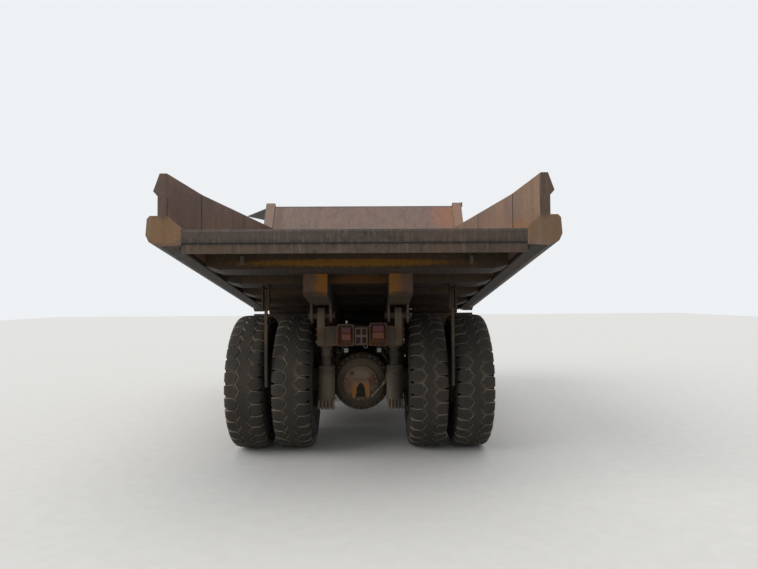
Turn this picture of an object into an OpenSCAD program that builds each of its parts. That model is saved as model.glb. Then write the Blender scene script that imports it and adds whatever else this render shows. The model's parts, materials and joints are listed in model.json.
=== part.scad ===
// Rigid two-axle mining dump truck. X points to its right, Y forward and Z up, in millimetres.
// The origin is on the ground, under the middle of the truck's length.

/* [Vehicle] */
// Distance between the axles
wheelbase = 3710; // [3650:10:3800]
// Distance from the rear axle back to the tail lip
tail_overhang = 2560; // [2450:10:2650]
// Distance from the front axle forward to the face of the bumper
front_overhang = 1790; // [1630:10:2030]
// Width over the two mirrors
mirror_span = 5300; // [5200:10:5500]

/* [Tyres and wheels] */
// Outer diameter of every tyre
tyre_d = 1850; // [1800:5:1880]
// Section width of a tyre
tyre_w = 500; // [470:5:520]
// Diameter of the bead seats
rim_d = 838; // [800:1:860]
// Distance between the middles of two twin tyres
dual_spacing = 600; // [580:5:620]
// Distance between the middles of the rear twin pairs
rear_track = 2390; // [2370:5:2420]
// Distance between the middles of the front tyres
front_track = 3100; // [3060:5:3140]
// Number of shoulder lugs round a tyre
lug_count = 16; // [14:1:40]
// Width of the groove between two shoulder lugs
groove_w = 46; // [20:1:60]
// Depth of the grooves between the lugs
groove_d = 40; // [20:1:60]

/* [Frame] */
// Distance from the centre plane to the middle of a frame rail
rail_x = 495; // [485:1:505]
// Width of a frame rail
rail_w = 170; // [150:1:180]
// Underside of the frame rails ahead of the rear axle
rail_bottom = 1120; // [1080:5:1160]
// Height of the body's hinge pins
pivot_z = 1863; // [1850:1:1875]
// Distance of the hinge pins behind the rear axle
pivot_back = 770; // [750:5:790]
// Radius of the hinge pins
pivot_r = 45; // [35:1:55]

/* [Body] */
// Height of the floor at the tail lip
lip_z = 2765; // [2750:5:2790]
// Angle at which the floor falls towards the front
floor_slope = 9; // [8.8:0.1:9.2]
// Level length of the floor from the tail lip to the front wall
floor_run = 4590; // [4500:10:4650]
// Inside width between the side walls
inner_w = 3630; // [3600:10:3680]
// Thickness of the floor plate
floor_t = 20; // [12:1:30]
// Thickness of the wall plates
wall_t = 14; // [10:1:20]
// Height of the side walls at the tail
tail_wall_z = 3303; // [3250:5:3350]
// Angle at which the top rails rise ahead of the tail section
rim_rise = 2.5; // [2:0.1:4]
// Length of the tail section, whose top rail is level
tail_section = 1100; // [900:10:1300]
// Height of the top edge of the front wall
headboard_z = 3960; // [3900:5:4000]
// Angle at which the front wall leans forward
wall_lean = 31; // [29:0.5:32]
// Distance between the cross ribs under the floor
rib_pitch = 860; // [850:5:870]
// Width of a cross rib
rib_w = 305; // [260:5:330]
// Depth of the ribs, measured from the floor's top
rib_drop = 232; // [220:1:245]
// Depth of the two long beams, measured from the floor's top
beam_drop = 477; // [470:1:485]
// Width of a long beam
beam_w = 275; // [260:1:285]
// Forward reach of the canopy from the front wall's top
canopy_run = 2000; // [1900:10:2050]

/* [Cab] */
// Width of the cab
cab_w = 1100; // [1060:10:1120]
// Length of the cab at its floor
cab_l = 1450; // [1400:10:1500]
// Height of the cab above the deck
cab_h = 1440; // [1380:10:1480]
// Thickness of the cab's walls and its door
cab_t = 40; // [30:1:50]
// Height of the deck's top surface
deck_z = 2035; // [2020:1:2060]
// Thickness of the deck
deck_t = 50; // [30:1:60]

/* [Hidden] */
$fn = 64;

// Running fits and gaps
fit = 0.1;
seat_gap = 0.3;

// Places along the truck
overall_length = tail_overhang + wheelbase + front_overhang;
tail_y = -overall_length / 2;
nose_y = overall_length / 2;
rear_y = tail_y + tail_overhang;
front_y = rear_y + wheelbase;
pivot_y = rear_y - pivot_back;
axle_z = tyre_d / 2;
wall_y = tail_y + floor_run;
inner_x = inner_w / 2;

// Lines of the body's floor and of the frame below it
function floor_z(y) = lip_z - (y - tail_y) * tan(floor_slope);
function under_floor(y, drop) = floor_z(y) - drop / cos(floor_slope);
function rim_z(y) = tail_wall_z + max(0, y - tail_y - tail_section) * tan(rim_rise);
pad_gap = 12;
function rail_top(y) = under_floor(y, beam_drop) - pad_gap;
function lean_y(z) = wall_y + (z - floor_z(wall_y)) * tan(wall_lean);

// Colours
yellow = "#b5892f";
rusty = "#7a5138";
dark = "#2e2b28";
rubber = "#33302c";
steel = "#8d8a84";
glassy = "#5c6b70";

// A shape drawn in Y and Z, extruded from x0 to x1
module span_x(x0, x1) {
    translate([x0, 0, 0]) rotate([90, 0, 90]) linear_extrude(x1 - x0) children();
}

// A shape drawn in X and Z, extruded from y0 to y1
module span_y(y0, y1) {
    translate([0, y1, 0]) rotate([90, 0, 0]) linear_extrude(y1 - y0) children();
}

// A box given by its two corners
module block(low, high) {
    translate(low) cube([for (i = [0:2]) high[i] - low[i]]);
}

// A profile of radius and X, turned about a line along X
module turned(y, z) {
    translate([0, y, z]) rotate([0, 90, 0]) rotate_extrude() children();
}

// A cylinder along X, from x0 to x1
module rod_x(x0, x1, y, z, r) {
    translate([x0, y, z]) rotate([0, 90, 0]) cylinder(h = x1 - x0, r = r);
}

// A cylinder between two points
module tube(a, b, r) {
    d = b - a;
    len = norm(d);
    translate(a) rotate([0, acos(d[2] / len), atan2(d[1], d[0])]) cylinder(h = len, r = r);
}

// The right-hand piece, or its mirror image on the left
module on_side(side) {
    if (side < 0) mirror([1, 0, 0]) children();
    else children();
}

module both_sides() {
    on_side(1) children();
    on_side(-1) children();
}

// The frame of the body: its origin is the tail lip, its Y runs down along the floor
module bed_axes() {
    translate([0, tail_y, lip_z]) rotate([-floor_slope, 0, 0]) children();
}
floor_len = floor_run / cos(floor_slope);

// A cylinder along Y
module rod_y(y0, y1, x, z, r) {
    translate([x, y1, z]) rotate([90, 0, 0]) cylinder(h = y1 - y0, r = r);
}

// A cylinder along Z
module rod_z(x, y, z0, z1, r) {
    translate([x, y, z0]) cylinder(h = z1 - z0, r = r);
}

// A rectangle with round corners, given by two corners
module rounded(low, high, r) {
    translate([low[0] + r, low[1]]) square([high[0] - low[0] - 2 * r, high[1] - low[1]]);
    translate([low[0], low[1] + r]) square([high[0] - low[0], high[1] - low[1] - 2 * r]);
    for (x = [low[0] + r, high[0] - r]) for (y = [low[1] + r, high[1] - r])
        translate([x, y]) circle(r = r, $fn = 24);
}

// Frame rails with their cross members

// Lower and upper pins of the hoist cylinders, with the body down, as Y and Z.
// The lower pins stand clear of the rear tyres.
hoist_x = 780;
hoist_room = 275;
hoist_foot = [rear_y + axle_z + hoist_room, 620];
hoist_head = [hoist_foot[0] + 200, 1900];
// Cross ribs of the body, at one pitch on both sides of the gap that takes the upper pins:
// Y of the rear edge of each, as far as the floor has room for them
hoist_ahead = 44.5;
rib_room_tail = 300;
rib_room_wall = 60;
rib_step = rib_pitch * cos(floor_slope);
rib_ys = [for (k = [-6 : 3]) let (y = hoist_head[0] - hoist_ahead - rib_w / 2 + (k + 0.5) * rib_step)
    if (y > tail_y + rib_room_tail && y + rib_w < wall_y - rib_room_wall) y];
foot_tube_r = 70;
kingpin_x = front_track / 2 - 420;
arm_z0 = 800;
arm_z1 = 860;
strut_r = 130;
strut_wall = 30;
frame_nose = nose_y - 250;
frame_top = rail_top(wall_y);
boss_r = 110;
boss_w = 90;
rail_in = rail_x - rail_w / 2;
rail_out = rail_x + rail_w / 2;
rail_tail_y = pivot_y + 190;
rear_member_z = 1480;
rear_member_top = pivot_z - 135;
rear_member_y = pivot_y - 100;
arm_half = 160;
steer_r = 250;
steer_z = arm_z1 + 40;
steer_anchor_x = 400;
cross_z = frame_top - 75;
flange_t = 16;
flange_out = 14;

module rail_profile() {
    polygon([[rail_tail_y, rear_member_z], [rear_y - 300, rear_member_z], [rear_y + 570, 1420],
        [rear_y + 1770, rail_bottom], [frame_nose, rail_bottom], [frame_nose, frame_top],
        [wall_y, frame_top], [rail_tail_y, rail_top(rail_tail_y)]]);
}

// Bottom flange of a rail, a little wider than its web
module flange_profile() {
    polygon([[rail_tail_y, rear_member_z], [rear_y - 300, rear_member_z], [rear_y + 570, 1420],
        [rear_y + 1770, rail_bottom], [frame_nose, rail_bottom], [frame_nose, rail_bottom + flange_t],
        [rear_y + 1774, rail_bottom + flange_t], [rear_y + 572, 1420 + flange_t],
        [rear_y - 300, rear_member_z + flange_t], [rail_tail_y, rear_member_z + flange_t]]);
}

module rear_ear_profile() {
    difference() {
        union() {
            polygon([[pivot_y - boss_r, rear_member_z], [rail_tail_y, rear_member_z],
                [rail_tail_y, rail_top(rail_tail_y)], [pivot_y, pivot_z + boss_r],
                [pivot_y - boss_r, pivot_z]]);
            translate([pivot_y, pivot_z]) circle(r = boss_r);
        }
        translate([pivot_y, pivot_z]) circle(r = pivot_r + fit);
    }
}

module hoist_hanger_profile() {
    polygon([[hoist_foot[0] - 110, hoist_foot[1] - 90], [hoist_foot[0] + 110, hoist_foot[1] - 90],
        [hoist_foot[0] + 260, rail_bottom + 290], [hoist_foot[0] - 260, rail_bottom + 290]]);
}

// Tapered arm that holds the front suspension strut, with its round clamp
module strut_arm() {
    difference() {
        union() {
            span_y(front_y - arm_half, front_y + arm_half)
                polygon([[rail_out, rail_bottom], [kingpin_x - 150, rail_bottom + 60],
                    [kingpin_x, rail_bottom + 60], [kingpin_x, frame_top], [rail_out, frame_top]]);
            rod_z(kingpin_x, front_y, rail_bottom + 60, frame_top, strut_r + strut_wall);
        }
        rod_z(kingpin_x, front_y, 0, 3000, strut_r + seat_gap);
    }
}

module frame() {
    color(yellow) {
        both_sides() {
            span_x(rail_in, rail_out) rail_profile();
            span_x(rail_in - flange_out, rail_out + flange_out) flange_profile();
            span_x(rail_x - boss_w / 2, rail_x + boss_w / 2) rear_ear_profile();
            span_x(rail_x - 40, rail_x + 40) hoist_hanger_profile();
            strut_arm();
            // Bracket of the steering cylinder
            block([steer_anchor_x - 80, front_y - steer_r - 60, steer_z - 55],
                [steer_anchor_x, front_y - steer_r + 60, rail_bottom]);
            block([steer_anchor_x - 80, front_y - steer_r - 60, rail_bottom - 100],
                [steer_anchor_x + 80, front_y - 60, rail_bottom]);
            // Seat of the rear strut
            block([rear_strut_x - 90, strut_y - 90, rear_member_z - 30],
                [rear_strut_x + 90, strut_y + 90, rear_member_z]);
        }
        // Rear cross member
        span_x(-rail_x, rail_x) polygon([[rear_member_y, rear_member_z], [pivot_y + 60, rear_member_z],
            [pivot_y + 120, rear_member_z + 60], [pivot_y + 120, rear_member_top],
            [rear_member_y, rear_member_top]]);
        rod_x(-hoist_x - 100, hoist_x + 100, hoist_foot[0], hoist_foot[1], foot_tube_r);
        rod_x(-rail_x, rail_x, rear_y + 500, 1560, 90);
        rod_x(-rail_x, rail_x, wall_y + 300, cross_z, 60);
        // Cross plate ahead of the gearbox
        block([-rail_out - flange_out, gearbox_y1 + 60, axle_z - 85],
            [rail_out + flange_out, gearbox_y1 + 140, rail_bottom + 5]);
        block([-rail_x, front_y - 120, rail_bottom - 100], [rail_x, front_y + 120, rail_bottom]);
        block([-rail_x, frame_nose - 120, rail_bottom], [rail_x, frame_nose, rail_bottom + 120]);
    }
}

// Engine, gearbox and shafts
engine_z = rail_bottom + 130;
engine_rear = front_y - 700;
gearbox_y0 = rear_y + 1420;
gearbox_y1 = rear_y + 2200;
shaft_r = 60;
flange_r = 100;
module engine_block() {
    color(dark) block([-340, engine_rear, engine_z], [340, nose_y - 650, deck_z - 75]);
}

module driveline() {
    color(dark) {
        rod_y(rear_y + 430 + seat_gap, gearbox_y0 - seat_gap, 0, axle_z, shaft_r);
        for (y = [rear_y + 460, gearbox_y0 - 60]) rod_y(y, y + 40, 0, axle_z, flange_r);
        span_y(gearbox_y0, gearbox_y1) rounded([-300, axle_z - 80], [300, engine_z + 150], 90);
        rod_y(gearbox_y1 + seat_gap, engine_rear - seat_gap, 0, engine_z + 75, shaft_r);
    }
}

// Radiator and grille
radiator_y = nose_y - 430;
hood_half = 560;
grille_half = hood_half - seat_gap;
grille_z = frame_top + seat_gap;
grille_top = 2300;
grille_rim = 60;
grille_t = 110;
core_edge = 40;
bar_pitch = 75;
module radiator_grille() {
    color(dark) block([-grille_half + core_edge, radiator_y - 140, grille_z],
        [grille_half - core_edge, radiator_y, grille_top - core_edge]);
    color(yellow) {
        span_y(radiator_y, radiator_y + grille_t) difference() {
            rounded([-grille_half, grille_z], [grille_half, grille_top], 40);
            rounded([-grille_half + grille_rim, grille_z + grille_rim],
                [grille_half - grille_rim, grille_top - grille_rim], 20);
        }
        for (z = [grille_z + 100 : bar_pitch : grille_top - 100])
            span_x(-grille_half + grille_rim, grille_half - grille_rim)
                polygon([[radiator_y + 30, z], [radiator_y + 80, z - 12], [radiator_y + 80, z + 4],
                    [radiator_y + 30, z + 26]]);
        span_y(radiator_y + 20, radiator_y + 70) translate([-20, grille_z + grille_rim])
            square([40, grille_top - grille_z - 2 * grille_rim]);
    }
}

// Hood over the engine
hood_t = 8;
hood_top = 2290;
module hood_profile(t) {
    r = 70;
    z0 = deck_z - deck_t;
    translate([-hood_half + t, z0]) square([2 * (hood_half - t), hood_top - r - z0]);
    translate([-hood_half + r, hood_top - r - 1]) square([2 * (hood_half - r), r - t + 1]);
    for (x = [-hood_half + r, hood_half - r]) translate([x, hood_top - r]) circle(r = r - t);
}

module hood() {
    color(yellow) difference() {
        span_y(deck_rear, radiator_y) hood_profile(0);
        translate([0, 0, -0.5]) span_y(deck_rear - 1, radiator_y + 1) hood_profile(hood_t);
        // Louvres in both sides
        for (i = [0 : 6]) block([-hood_half - 1, deck_rear + 420 + i * 220, hood_top - 190],
            [hood_half + 1, deck_rear + 560 + i * 220, hood_top - 160]);
    }
}

// Decks over the front wheels
deck_out = 1960;
deck_rear = front_y - 740;
deck_nose = nose_y - 330;
skirt = 140;
skirt_t = 15;
module decks() {
    under = deck_z - deck_t - seat_gap;
    color(yellow) both_sides() {
        block([hood_half, deck_rear, deck_z - deck_t], [deck_out, deck_nose, deck_z]);
        // Skirts along the outer edge, ahead of and behind the wheel
        for (ends = [[deck_rear, front_y - 520], [front_y + 520, deck_nose]])
            span_x(deck_out - skirt_t, deck_out) polygon([[ends[0], under], [ends[1], under],
                [ends[1] - 40, under - skirt], [ends[0] + 40, under - skirt]]);
        for (y = [deck_rear + 60, front_y + 640]) {
            block([rail_in, y, frame_top + seat_gap], [rail_out, y + 80, under]);
            span_y(y, y + 80) polygon([[rail_out + seat_gap, under], [rail_out + seat_gap, under - 200],
                [deck_out - 200, under - 60], [deck_out - 200, under]]);
        }
    }
}

// Front bumper with its wings and tow eyes
bumper_half = 1000;
bumper_z0 = 880;
bumper_z1 = 1290;
wing_half = 1640;
tow_r = 32;
tow_back = 185;
tow_t = 60;
lamp_z = 1090;
module bumper() {
    color(yellow) {
        difference() {
            translate([0, 0, bumper_z0]) linear_extrude(bumper_z1 - bumper_z0)
                polygon([[-bumper_half, frame_nose], [-bumper_half, nose_y - 90], [-bumper_half + 90, nose_y],
                    [bumper_half - 90, nose_y], [bumper_half, nose_y - 90], [bumper_half, frame_nose]]);
            both_sides() span_y(nose_y - 60, nose_y + 1) rounded([600, lamp_z - 80], [900, lamp_z + 80], 30);
            // Opening for cooling air
            span_y(frame_nose - 1, nose_y + 1) rounded([-300, bumper_z0 + 120], [300, bumper_z1 - 110], 40);
        }
        both_sides() {
            span_y(frame_nose, frame_nose + 60) polygon([[bumper_half - 1, 940], [wing_half - 80, 980],
                [wing_half, 1060], [wing_half, 1160], [bumper_half - 1, 1200]]);
            difference() {
                span_x(rail_x - tow_t / 2, rail_x + tow_t / 2)
                    polygon([[nose_y - 245, bumper_z0], [nose_y - 245, bumper_z0 - 100],
                        [nose_y - 210, bumper_z0 - 140], [nose_y - 150, bumper_z0 - 140],
                        [nose_y - 60, bumper_z0]]);
                rod_x(rail_x - tow_t, rail_x + tow_t, nose_y - tow_back, bumper_z0 - 75, tow_r);
            }
        }
    }
}

module headlamps() {
    color(steel) both_sides() for (x = [680, 820])
        translate([x, nose_y, lamp_z]) rotate([90, 0, 0]) rotate_extrude()
            polygon([[0, 8], [40, 12], [58, 22], [62, 60], [0, 60]]);
}

// Ladders at the front
ladder_in = 1080;
ladder_w = 430;
stile_w = 40;
ladder_foot = [nose_y - 70, 520];
ladder_head = [deck_nose + 20, deck_z + 20];
module ladders() {
    steps = 6;
    color(yellow) both_sides() {
        for (x = [ladder_in, ladder_in + ladder_w - stile_w]) {
            span_x(x, x + stile_w)
                polygon([ladder_foot, ladder_foot + [50, 0], ladder_head + [50, 0], ladder_head]);
            block([x, deck_nose, deck_z - 45], [x + stile_w, deck_nose + 60, deck_z - 5]);
        }
        for (i = [0 : steps - 1]) {
            p = ladder_foot + (ladder_head - ladder_foot) * (i + 0.5) / steps;
            block([ladder_in + stile_w, p[0] - 10, p[1]],
                [ladder_in + ladder_w - stile_w, p[0] + 70, p[1] + 30]);
        }
    }
}

// Handrails round the decks: posts at the corners of each run, joined by two bars
rail_r = 21;
handrail_h = 980;
rail_edge = 40;
module rail_run(points) {
    for (p = points) rod_z(p[0], p[1], deck_z, deck_z + handrail_h, rail_r);
    for (i = [0 : len(points) - 2]) for (z = [deck_z + handrail_h * 0.53, deck_z + handrail_h - rail_r])
        tube([points[i][0], points[i][1], z], [points[i + 1][0], points[i + 1][1], z], rail_r - 1);
}

module handrails() {
    y1 = deck_nose - rail_edge;
    x1 = deck_out - rail_edge;
    outer = [x1, ladder_in + ladder_w + 60];
    inner = [ladder_in - 60, hood_half + 80];
    color(yellow) {
        rail_run([[x1, deck_rear + 60], [x1, (deck_rear + y1) / 2], [x1, y1], [outer[1], y1]]);
        rail_run([[inner[0], y1], [inner[1], y1]]);
        rail_run([[-x1, y1], [-outer[1], y1]]);
        rail_run([[-inner[0], y1], [-inner[1], y1]]);
    }
}

// Cab
cab_x1 = -hood_half - 190;
cab_x0 = cab_x1 - cab_w;
cab_y0 = deck_rear + 300;
cab_y1 = cab_y0 + cab_l;
cab_top = deck_z + cab_h;
sill_z = deck_z + 660;
screen_lean = 130;
screen_depth = 250;
door_y0 = cab_y0 + 330;
door_y1 = door_y0 + 800;
door_gap = 10;
post_w = 90;
pane_r = 50;
drip = 25;
hinge_out = 24;
hinge_r = 20;
hinge_pin_r = 10;
hinge_h = 50;
hinge_zs = [deck_z + 230, cab_top - 300];

module cab_side_profile(t) {
    polygon([[cab_y0 + t, deck_z + t], [cab_y1 - t, deck_z + t], [cab_y1 - t, sill_z],
        [cab_y1 - screen_lean - t, cab_top - 60 - t], [cab_y1 - screen_lean - 60 - t, cab_top - t],
        [cab_y0 + 60 + t, cab_top - t], [cab_y0 + t, cab_top - 60 - t]]);
}

module door_profile(t) {
    rounded([door_y0 + t, deck_z + 60 + t], [door_y1 - t, cab_top - 80 - t], pane_r);
}

module window_profile(y0, y1, t) {
    rounded([y0 + t, sill_z + 40 + t], [y1 - t, cab_top - 120 - t], pane_r);
}

module screen_profile(t) {
    rounded([cab_x0 + post_w + t, sill_z + 60 + t], [cab_x1 - post_w - t, cab_top - 110 - t], pane_r);
}

module cab_shell() {
    color(yellow) {
        difference() {
            union() {
                span_x(cab_x0, cab_x1) cab_side_profile(0);
                // Drip rail round the roof
                span_x(cab_x0 - drip, cab_x1 + drip) polygon([[cab_y0 - drip, cab_top - 75],
                    [cab_y1 - screen_lean + 45, cab_top - 75], [cab_y1 - screen_lean + 20, cab_top - 50],
                    [cab_y0 - drip, cab_top - 50]]);
            }
            span_x(cab_x0 + cab_t, cab_x1 - cab_t) cab_side_profile(cab_t);
            span_x(cab_x0 - 1, cab_x0 + cab_t + 1) door_profile(0);
            span_x(cab_x0 - 1, cab_x0 + cab_t + 1) window_profile(cab_y0 + post_w, door_y0 - 60, 0);
            span_x(cab_x1 - cab_t - 1, cab_x1 + 1)
                window_profile(cab_y0 + 200, cab_y1 - screen_lean - 120, 0);
            span_y(cab_y1 - screen_depth, cab_y1 + 1) screen_profile(0);
            span_y(cab_y0 - 1, cab_y0 + cab_t + 1) screen_profile(0);
        }
        for (z = hinge_zs) {
            rod_z(cab_x0 - hinge_out, door_y0, z, z + hinge_h, hinge_r);
            block([cab_x0 - hinge_out - 10, door_y0 - 55, z], [cab_x0, door_y0 - 5, z + hinge_h]);
            rod_z(cab_x0 - hinge_out, door_y0, z + hinge_h - 10, z + 2 * hinge_h + 10, hinge_pin_r);
        }
    }
}

glass_t = 8;
glass_in = 16;
module cab_glass() {
    g = seat_gap;
    x0 = cab_x0 + glass_in;
    x1 = cab_x1 - glass_in - glass_t;
    color(glassy) {
        span_x(x0, x0 + glass_t) window_profile(cab_y0 + post_w, door_y0 - 60, g);
        span_x(x1, x1 + glass_t) window_profile(cab_y0 + 200, cab_y1 - screen_lean - 120, g);
        span_y(cab_y0 + glass_in, cab_y0 + glass_in + glass_t) screen_profile(g);
        intersection() {
            span_y(cab_y1 - screen_depth, cab_y1) screen_profile(g);
            span_x(cab_x0, cab_x1) difference() {
                cab_side_profile(glass_in);
                cab_side_profile(glass_in + glass_t);
            }
        }
    }
}

module cab_door() {
    axis_x = cab_x0 - hinge_out;
    color(yellow) {
        difference() {
            span_x(cab_x0, cab_x0 + cab_t) door_profile(door_gap);
            span_x(cab_x0 - 1, cab_x0 + cab_t + 1) window_profile(door_y0 + 90, door_y1 - 90, 0);
        }
        for (z = hinge_zs) difference() {
            z0 = z + hinge_h + seat_gap;
            z1 = z + 2 * hinge_h;
            union() {
                rod_z(axis_x, door_y0, z0, z1, hinge_r);
                block([axis_x - 10, door_y0, z0], [axis_x + 2, door_y0 + 130, z1]);
                block([axis_x, door_y0 + 50, z0], [cab_x0, door_y0 + 130, z1]);
            }
            rod_z(axis_x, door_y0, z, z1 + hinge_h, hinge_pin_r + fit);
        }
        // Grab handle
        for (z = [sill_z - 180, sill_z - 20]) rod_x(cab_x0 - 50, cab_x0, door_y1 - 70, z, 9);
        rod_z(cab_x0 - 45, door_y1 - 70, sill_z - 200, sill_z, 11);
    }
}

module door_glass() {
    color(glassy) span_x(cab_x0 + glass_in, cab_x0 + glass_in + glass_t)
        window_profile(door_y0 + 90, door_y1 - 90, seat_gap);
}

seat_x = (cab_x0 + cab_x1) / 2;
cab_floor = deck_z + cab_t;
module operator_seat() {
    y0 = cab_y0 + 260;
    color(dark) {
        block([seat_x - 160, y0 + 60, cab_floor], [seat_x + 160, y0 + 420, cab_floor + 330]);
        span_x(seat_x - 240, seat_x + 240) rounded([y0, cab_floor + 325], [y0 + 500, cab_floor + 450], 45);
        span_x(seat_x - 230, seat_x + 230) polygon([[y0 - 120, cab_floor + 440], [y0 + 40, cab_floor + 440],
            [y0 + 20, cab_floor + 560], [y0 - 40, cab_floor + 1060], [y0 - 80, cab_floor + 1100],
            [y0 - 140, cab_floor + 1060]]);
    }
}

wheel_ring_r = 200;
wheel_grip_r = 16;
module steering_column() {
    hub = [seat_x, cab_y1 - 440, cab_floor + 700];
    color(dark) {
        span_x(seat_x - 420, seat_x + 420) polygon([[cab_y1 - 300, cab_floor], [cab_y1 - cab_t, cab_floor],
            [cab_y1 - cab_t, cab_floor + 590], [cab_y1 - 220, cab_floor + 590],
            [cab_y1 - 300, cab_floor + 470]]);
        tube([seat_x, cab_y1 - 290, cab_floor + 400], hub, 32);
        translate(hub) rotate([30, 0, 0]) {
            rotate_extrude($fn = 40) translate([wheel_ring_r, 0]) circle(r = wheel_grip_r, $fn = 16);
            for (a = [90, 210, 330]) rotate([0, 0, a]) translate([0, -14, -10]) cube([wheel_ring_r, 28, 16]);
            cylinder(h = 30, r = 45, center = true);
        }
    }
}

// Fuel and hydraulic tanks between the axles, with their straps and filler necks
tank_y0 = rear_y + 1050;
tank_y1 = front_y - 1260;
tank_x0 = 950;
tank_x1 = 1760;
tank_z0 = 640;
tank_z1 = 1540;
strap_t = 10;
module side_tanks() {
    color(yellow) both_sides() {
        span_y(tank_y0, tank_y1) rounded([tank_x0, tank_z0], [tank_x1, tank_z1], 130);
        for (y = [tank_y0 + 250, tank_y1 - 330]) span_y(y, y + 80)
            rounded([tank_x0 - strap_t, tank_z0 - strap_t], [tank_x1 + strap_t, tank_z1 + strap_t], 140);
        rod_z(tank_x1 - 200, tank_y1 - 180, tank_z1 - 10, tank_z1 + 70, 70);
        for (y = [tank_y0 + 700, tank_y1 - 200]) {
            block([rail_out, y, 1180], [tank_x0 - seat_gap, y + 90, 1300]);
            block([rail_out + flange_out + 1, y, 900], [tank_x0 - seat_gap, y + 90, 1300]);
        }
    }
}

// Air cleaners on the right deck: each is a can with a lid band and an inlet cap
cleaner_xs = [deck_out - 1060, deck_out - 630];
module air_cleaners() {
    color(yellow) for (x = cleaner_xs) translate([x, deck_nose - 420, deck_z]) {
        rotate_extrude() polygon([[0, 0], [120, 0], [120, 60], [165, 80], [165, 230], [175, 235], [175, 275],
            [165, 280], [165, 600], [120, 640], [70, 650], [70, 720], [130, 740], [130, 790], [90, 830],
            [0, 840]]);
    }
}

// Rear axle housing with its spindles
banjo_r = 400;
spindle_r = 160;
rear_mid = rear_track / 2;
rear_strut_x = 460;
strut_y = rear_y - 470;
strut_foot = 730;
module rear_axle() {
    color(yellow) {
        translate([0, rear_y, axle_z]) rotate([-90, 0, 0]) rotate_extrude()
            polygon([[0, -450], [180, -440], [240, -400], [250, -350], [330, -300], [banjo_r, -160],
                [banjo_r, 160], [330, 240], [200, 380], [90, 430], [0, 430]]);
        rod_x(-600, 600, rear_y, axle_z, 210);
        rod_x(-rear_mid - 260, rear_mid + 260, rear_y, axle_z, spindle_r);
        // Brackets under the struts
        both_sides() span_x(rear_strut_x - 80, rear_strut_x + 80)
            polygon([[rear_y, axle_z - 120], [rear_y, axle_z + 100], [strut_y + 125, strut_foot],
                [strut_y - 90, strut_foot], [strut_y - 90, strut_foot - 60],
                [strut_y + 60, strut_foot - 120]]);
        // Arched guard on the rear cover
        span_y(rear_y - 480, rear_y - 380)
            polygon([[-120, axle_z - 170], [-115, axle_z + 65], [115, axle_z + 65], [120, axle_z - 170],
                [70, axle_z - 170], [50, axle_z - 60], [-50, axle_z - 60], [-70, axle_z - 170]]);
        // Drawbar to the cross tube
        difference() {
            union() {
                span_x(-150, 150) polygon([[rear_y, axle_z - 330], [rear_y, axle_z - 150],
                    [hoist_foot[0] - 60, hoist_foot[1] + 60], [hoist_foot[0] - 60, hoist_foot[1] - 60]]);
                rod_x(-150, 150, hoist_foot[0], hoist_foot[1], foot_tube_r + 45);
            }
            rod_x(-151, 151, hoist_foot[0], hoist_foot[1], foot_tube_r + fit);
        }
    }
}

// Suspension struts
rear_rod_r = 66;
module suspension_struts() {
    color(steel) both_sides() translate([rear_strut_x, strut_y, 0]) rotate_extrude()
        polygon([[0, strut_foot], [112, strut_foot], [112, 1165], [96, 1185], [rear_rod_r, 1185],
            [rear_rod_r, 1310], [78, 1312], [78, 1360], [rear_rod_r, 1362], [rear_rod_r, rear_member_z - 70],
            [90, rear_member_z - 50], [90, rear_member_z - 30], [0, rear_member_z - 30]]);
    color(yellow) both_sides() difference() {
        translate([kingpin_x, front_y, 0]) rotate_extrude()
            polygon([[0, 1170], [strut_r, 1170], [strut_r, 1880], [strut_r - 40, 1930], [0, 1930]]);
        rod_z(kingpin_x, front_y, 1169, 1750, knuckle_r + fit);
    }
}

// Front knuckles: the strut's rod, the spindle and the steering arm
knuckle_r = 95;
knuckle_boss_r = 150;
front_spindle_r = 110;
tie_r = 340;
module knuckle(side) {
    color(dark) on_side(side) {
        rod_z(kingpin_x, front_y, arm_z0, 1640, knuckle_r);
        rod_z(kingpin_x, front_y, arm_z0 - 30, 1130, knuckle_boss_r);
        rod_x(kingpin_x, front_track / 2 + 130, front_y, axle_z, front_spindle_r);
        translate([kingpin_x, front_y, arm_z0]) linear_extrude(arm_z1 - arm_z0) {
            polygon([[-120, 0], [120, 0], [60, -tie_r], [-60, -tie_r]]);
            translate([0, -tie_r]) circle(r = 60);
        }
    }
}

tie_rod_r = 28;
module tie_rod() {
    z = arm_z0 - seat_gap;
    y = front_y - tie_r;
    color(steel) {
        rod_x(-kingpin_x, kingpin_x, y, z - 30, tie_rod_r);
        both_sides() rod_z(kingpin_x, y, z - 60, z, 55);
    }
}

// Steering cylinders between the frame and the steering arms
steer_barrel_end = 810;
steer_rod_r = 25;
module steering_cylinders() {
    y = front_y - steer_r;
    color(dark) both_sides() difference() {
        rod_x(steer_anchor_x, steer_barrel_end, y, steer_z, 45);
        rod_x(steer_anchor_x + 50, steer_barrel_end + 1, y, steer_z, steer_rod_r + fit);
    }
}

module steering_rod(side) {
    y = front_y - steer_r;
    color(steel) on_side(side) {
        rod_x(kingpin_x - 510, kingpin_x - 40, y, steer_z, steer_rod_r);
        rod_z(kingpin_x, y, arm_z1 + 8, steer_z + 30, 50);
    }
}

// Wheels. Each profile is drawn as radius and distance from the tyre's middle
bead_r = rim_d / 2;
bead_lip = 32;
module tyre_profile() {
    h = tyre_w / 2;
    polygon([[bead_r, 26 - h], [bead_r + 190, -h], [axle_z - 60, 8 - h], [axle_z, 60 - h],
        [axle_z, h - 60], [axle_z - 60, h - 8], [bead_r + 190, h], [bead_r, h - 26]]);
}

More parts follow.
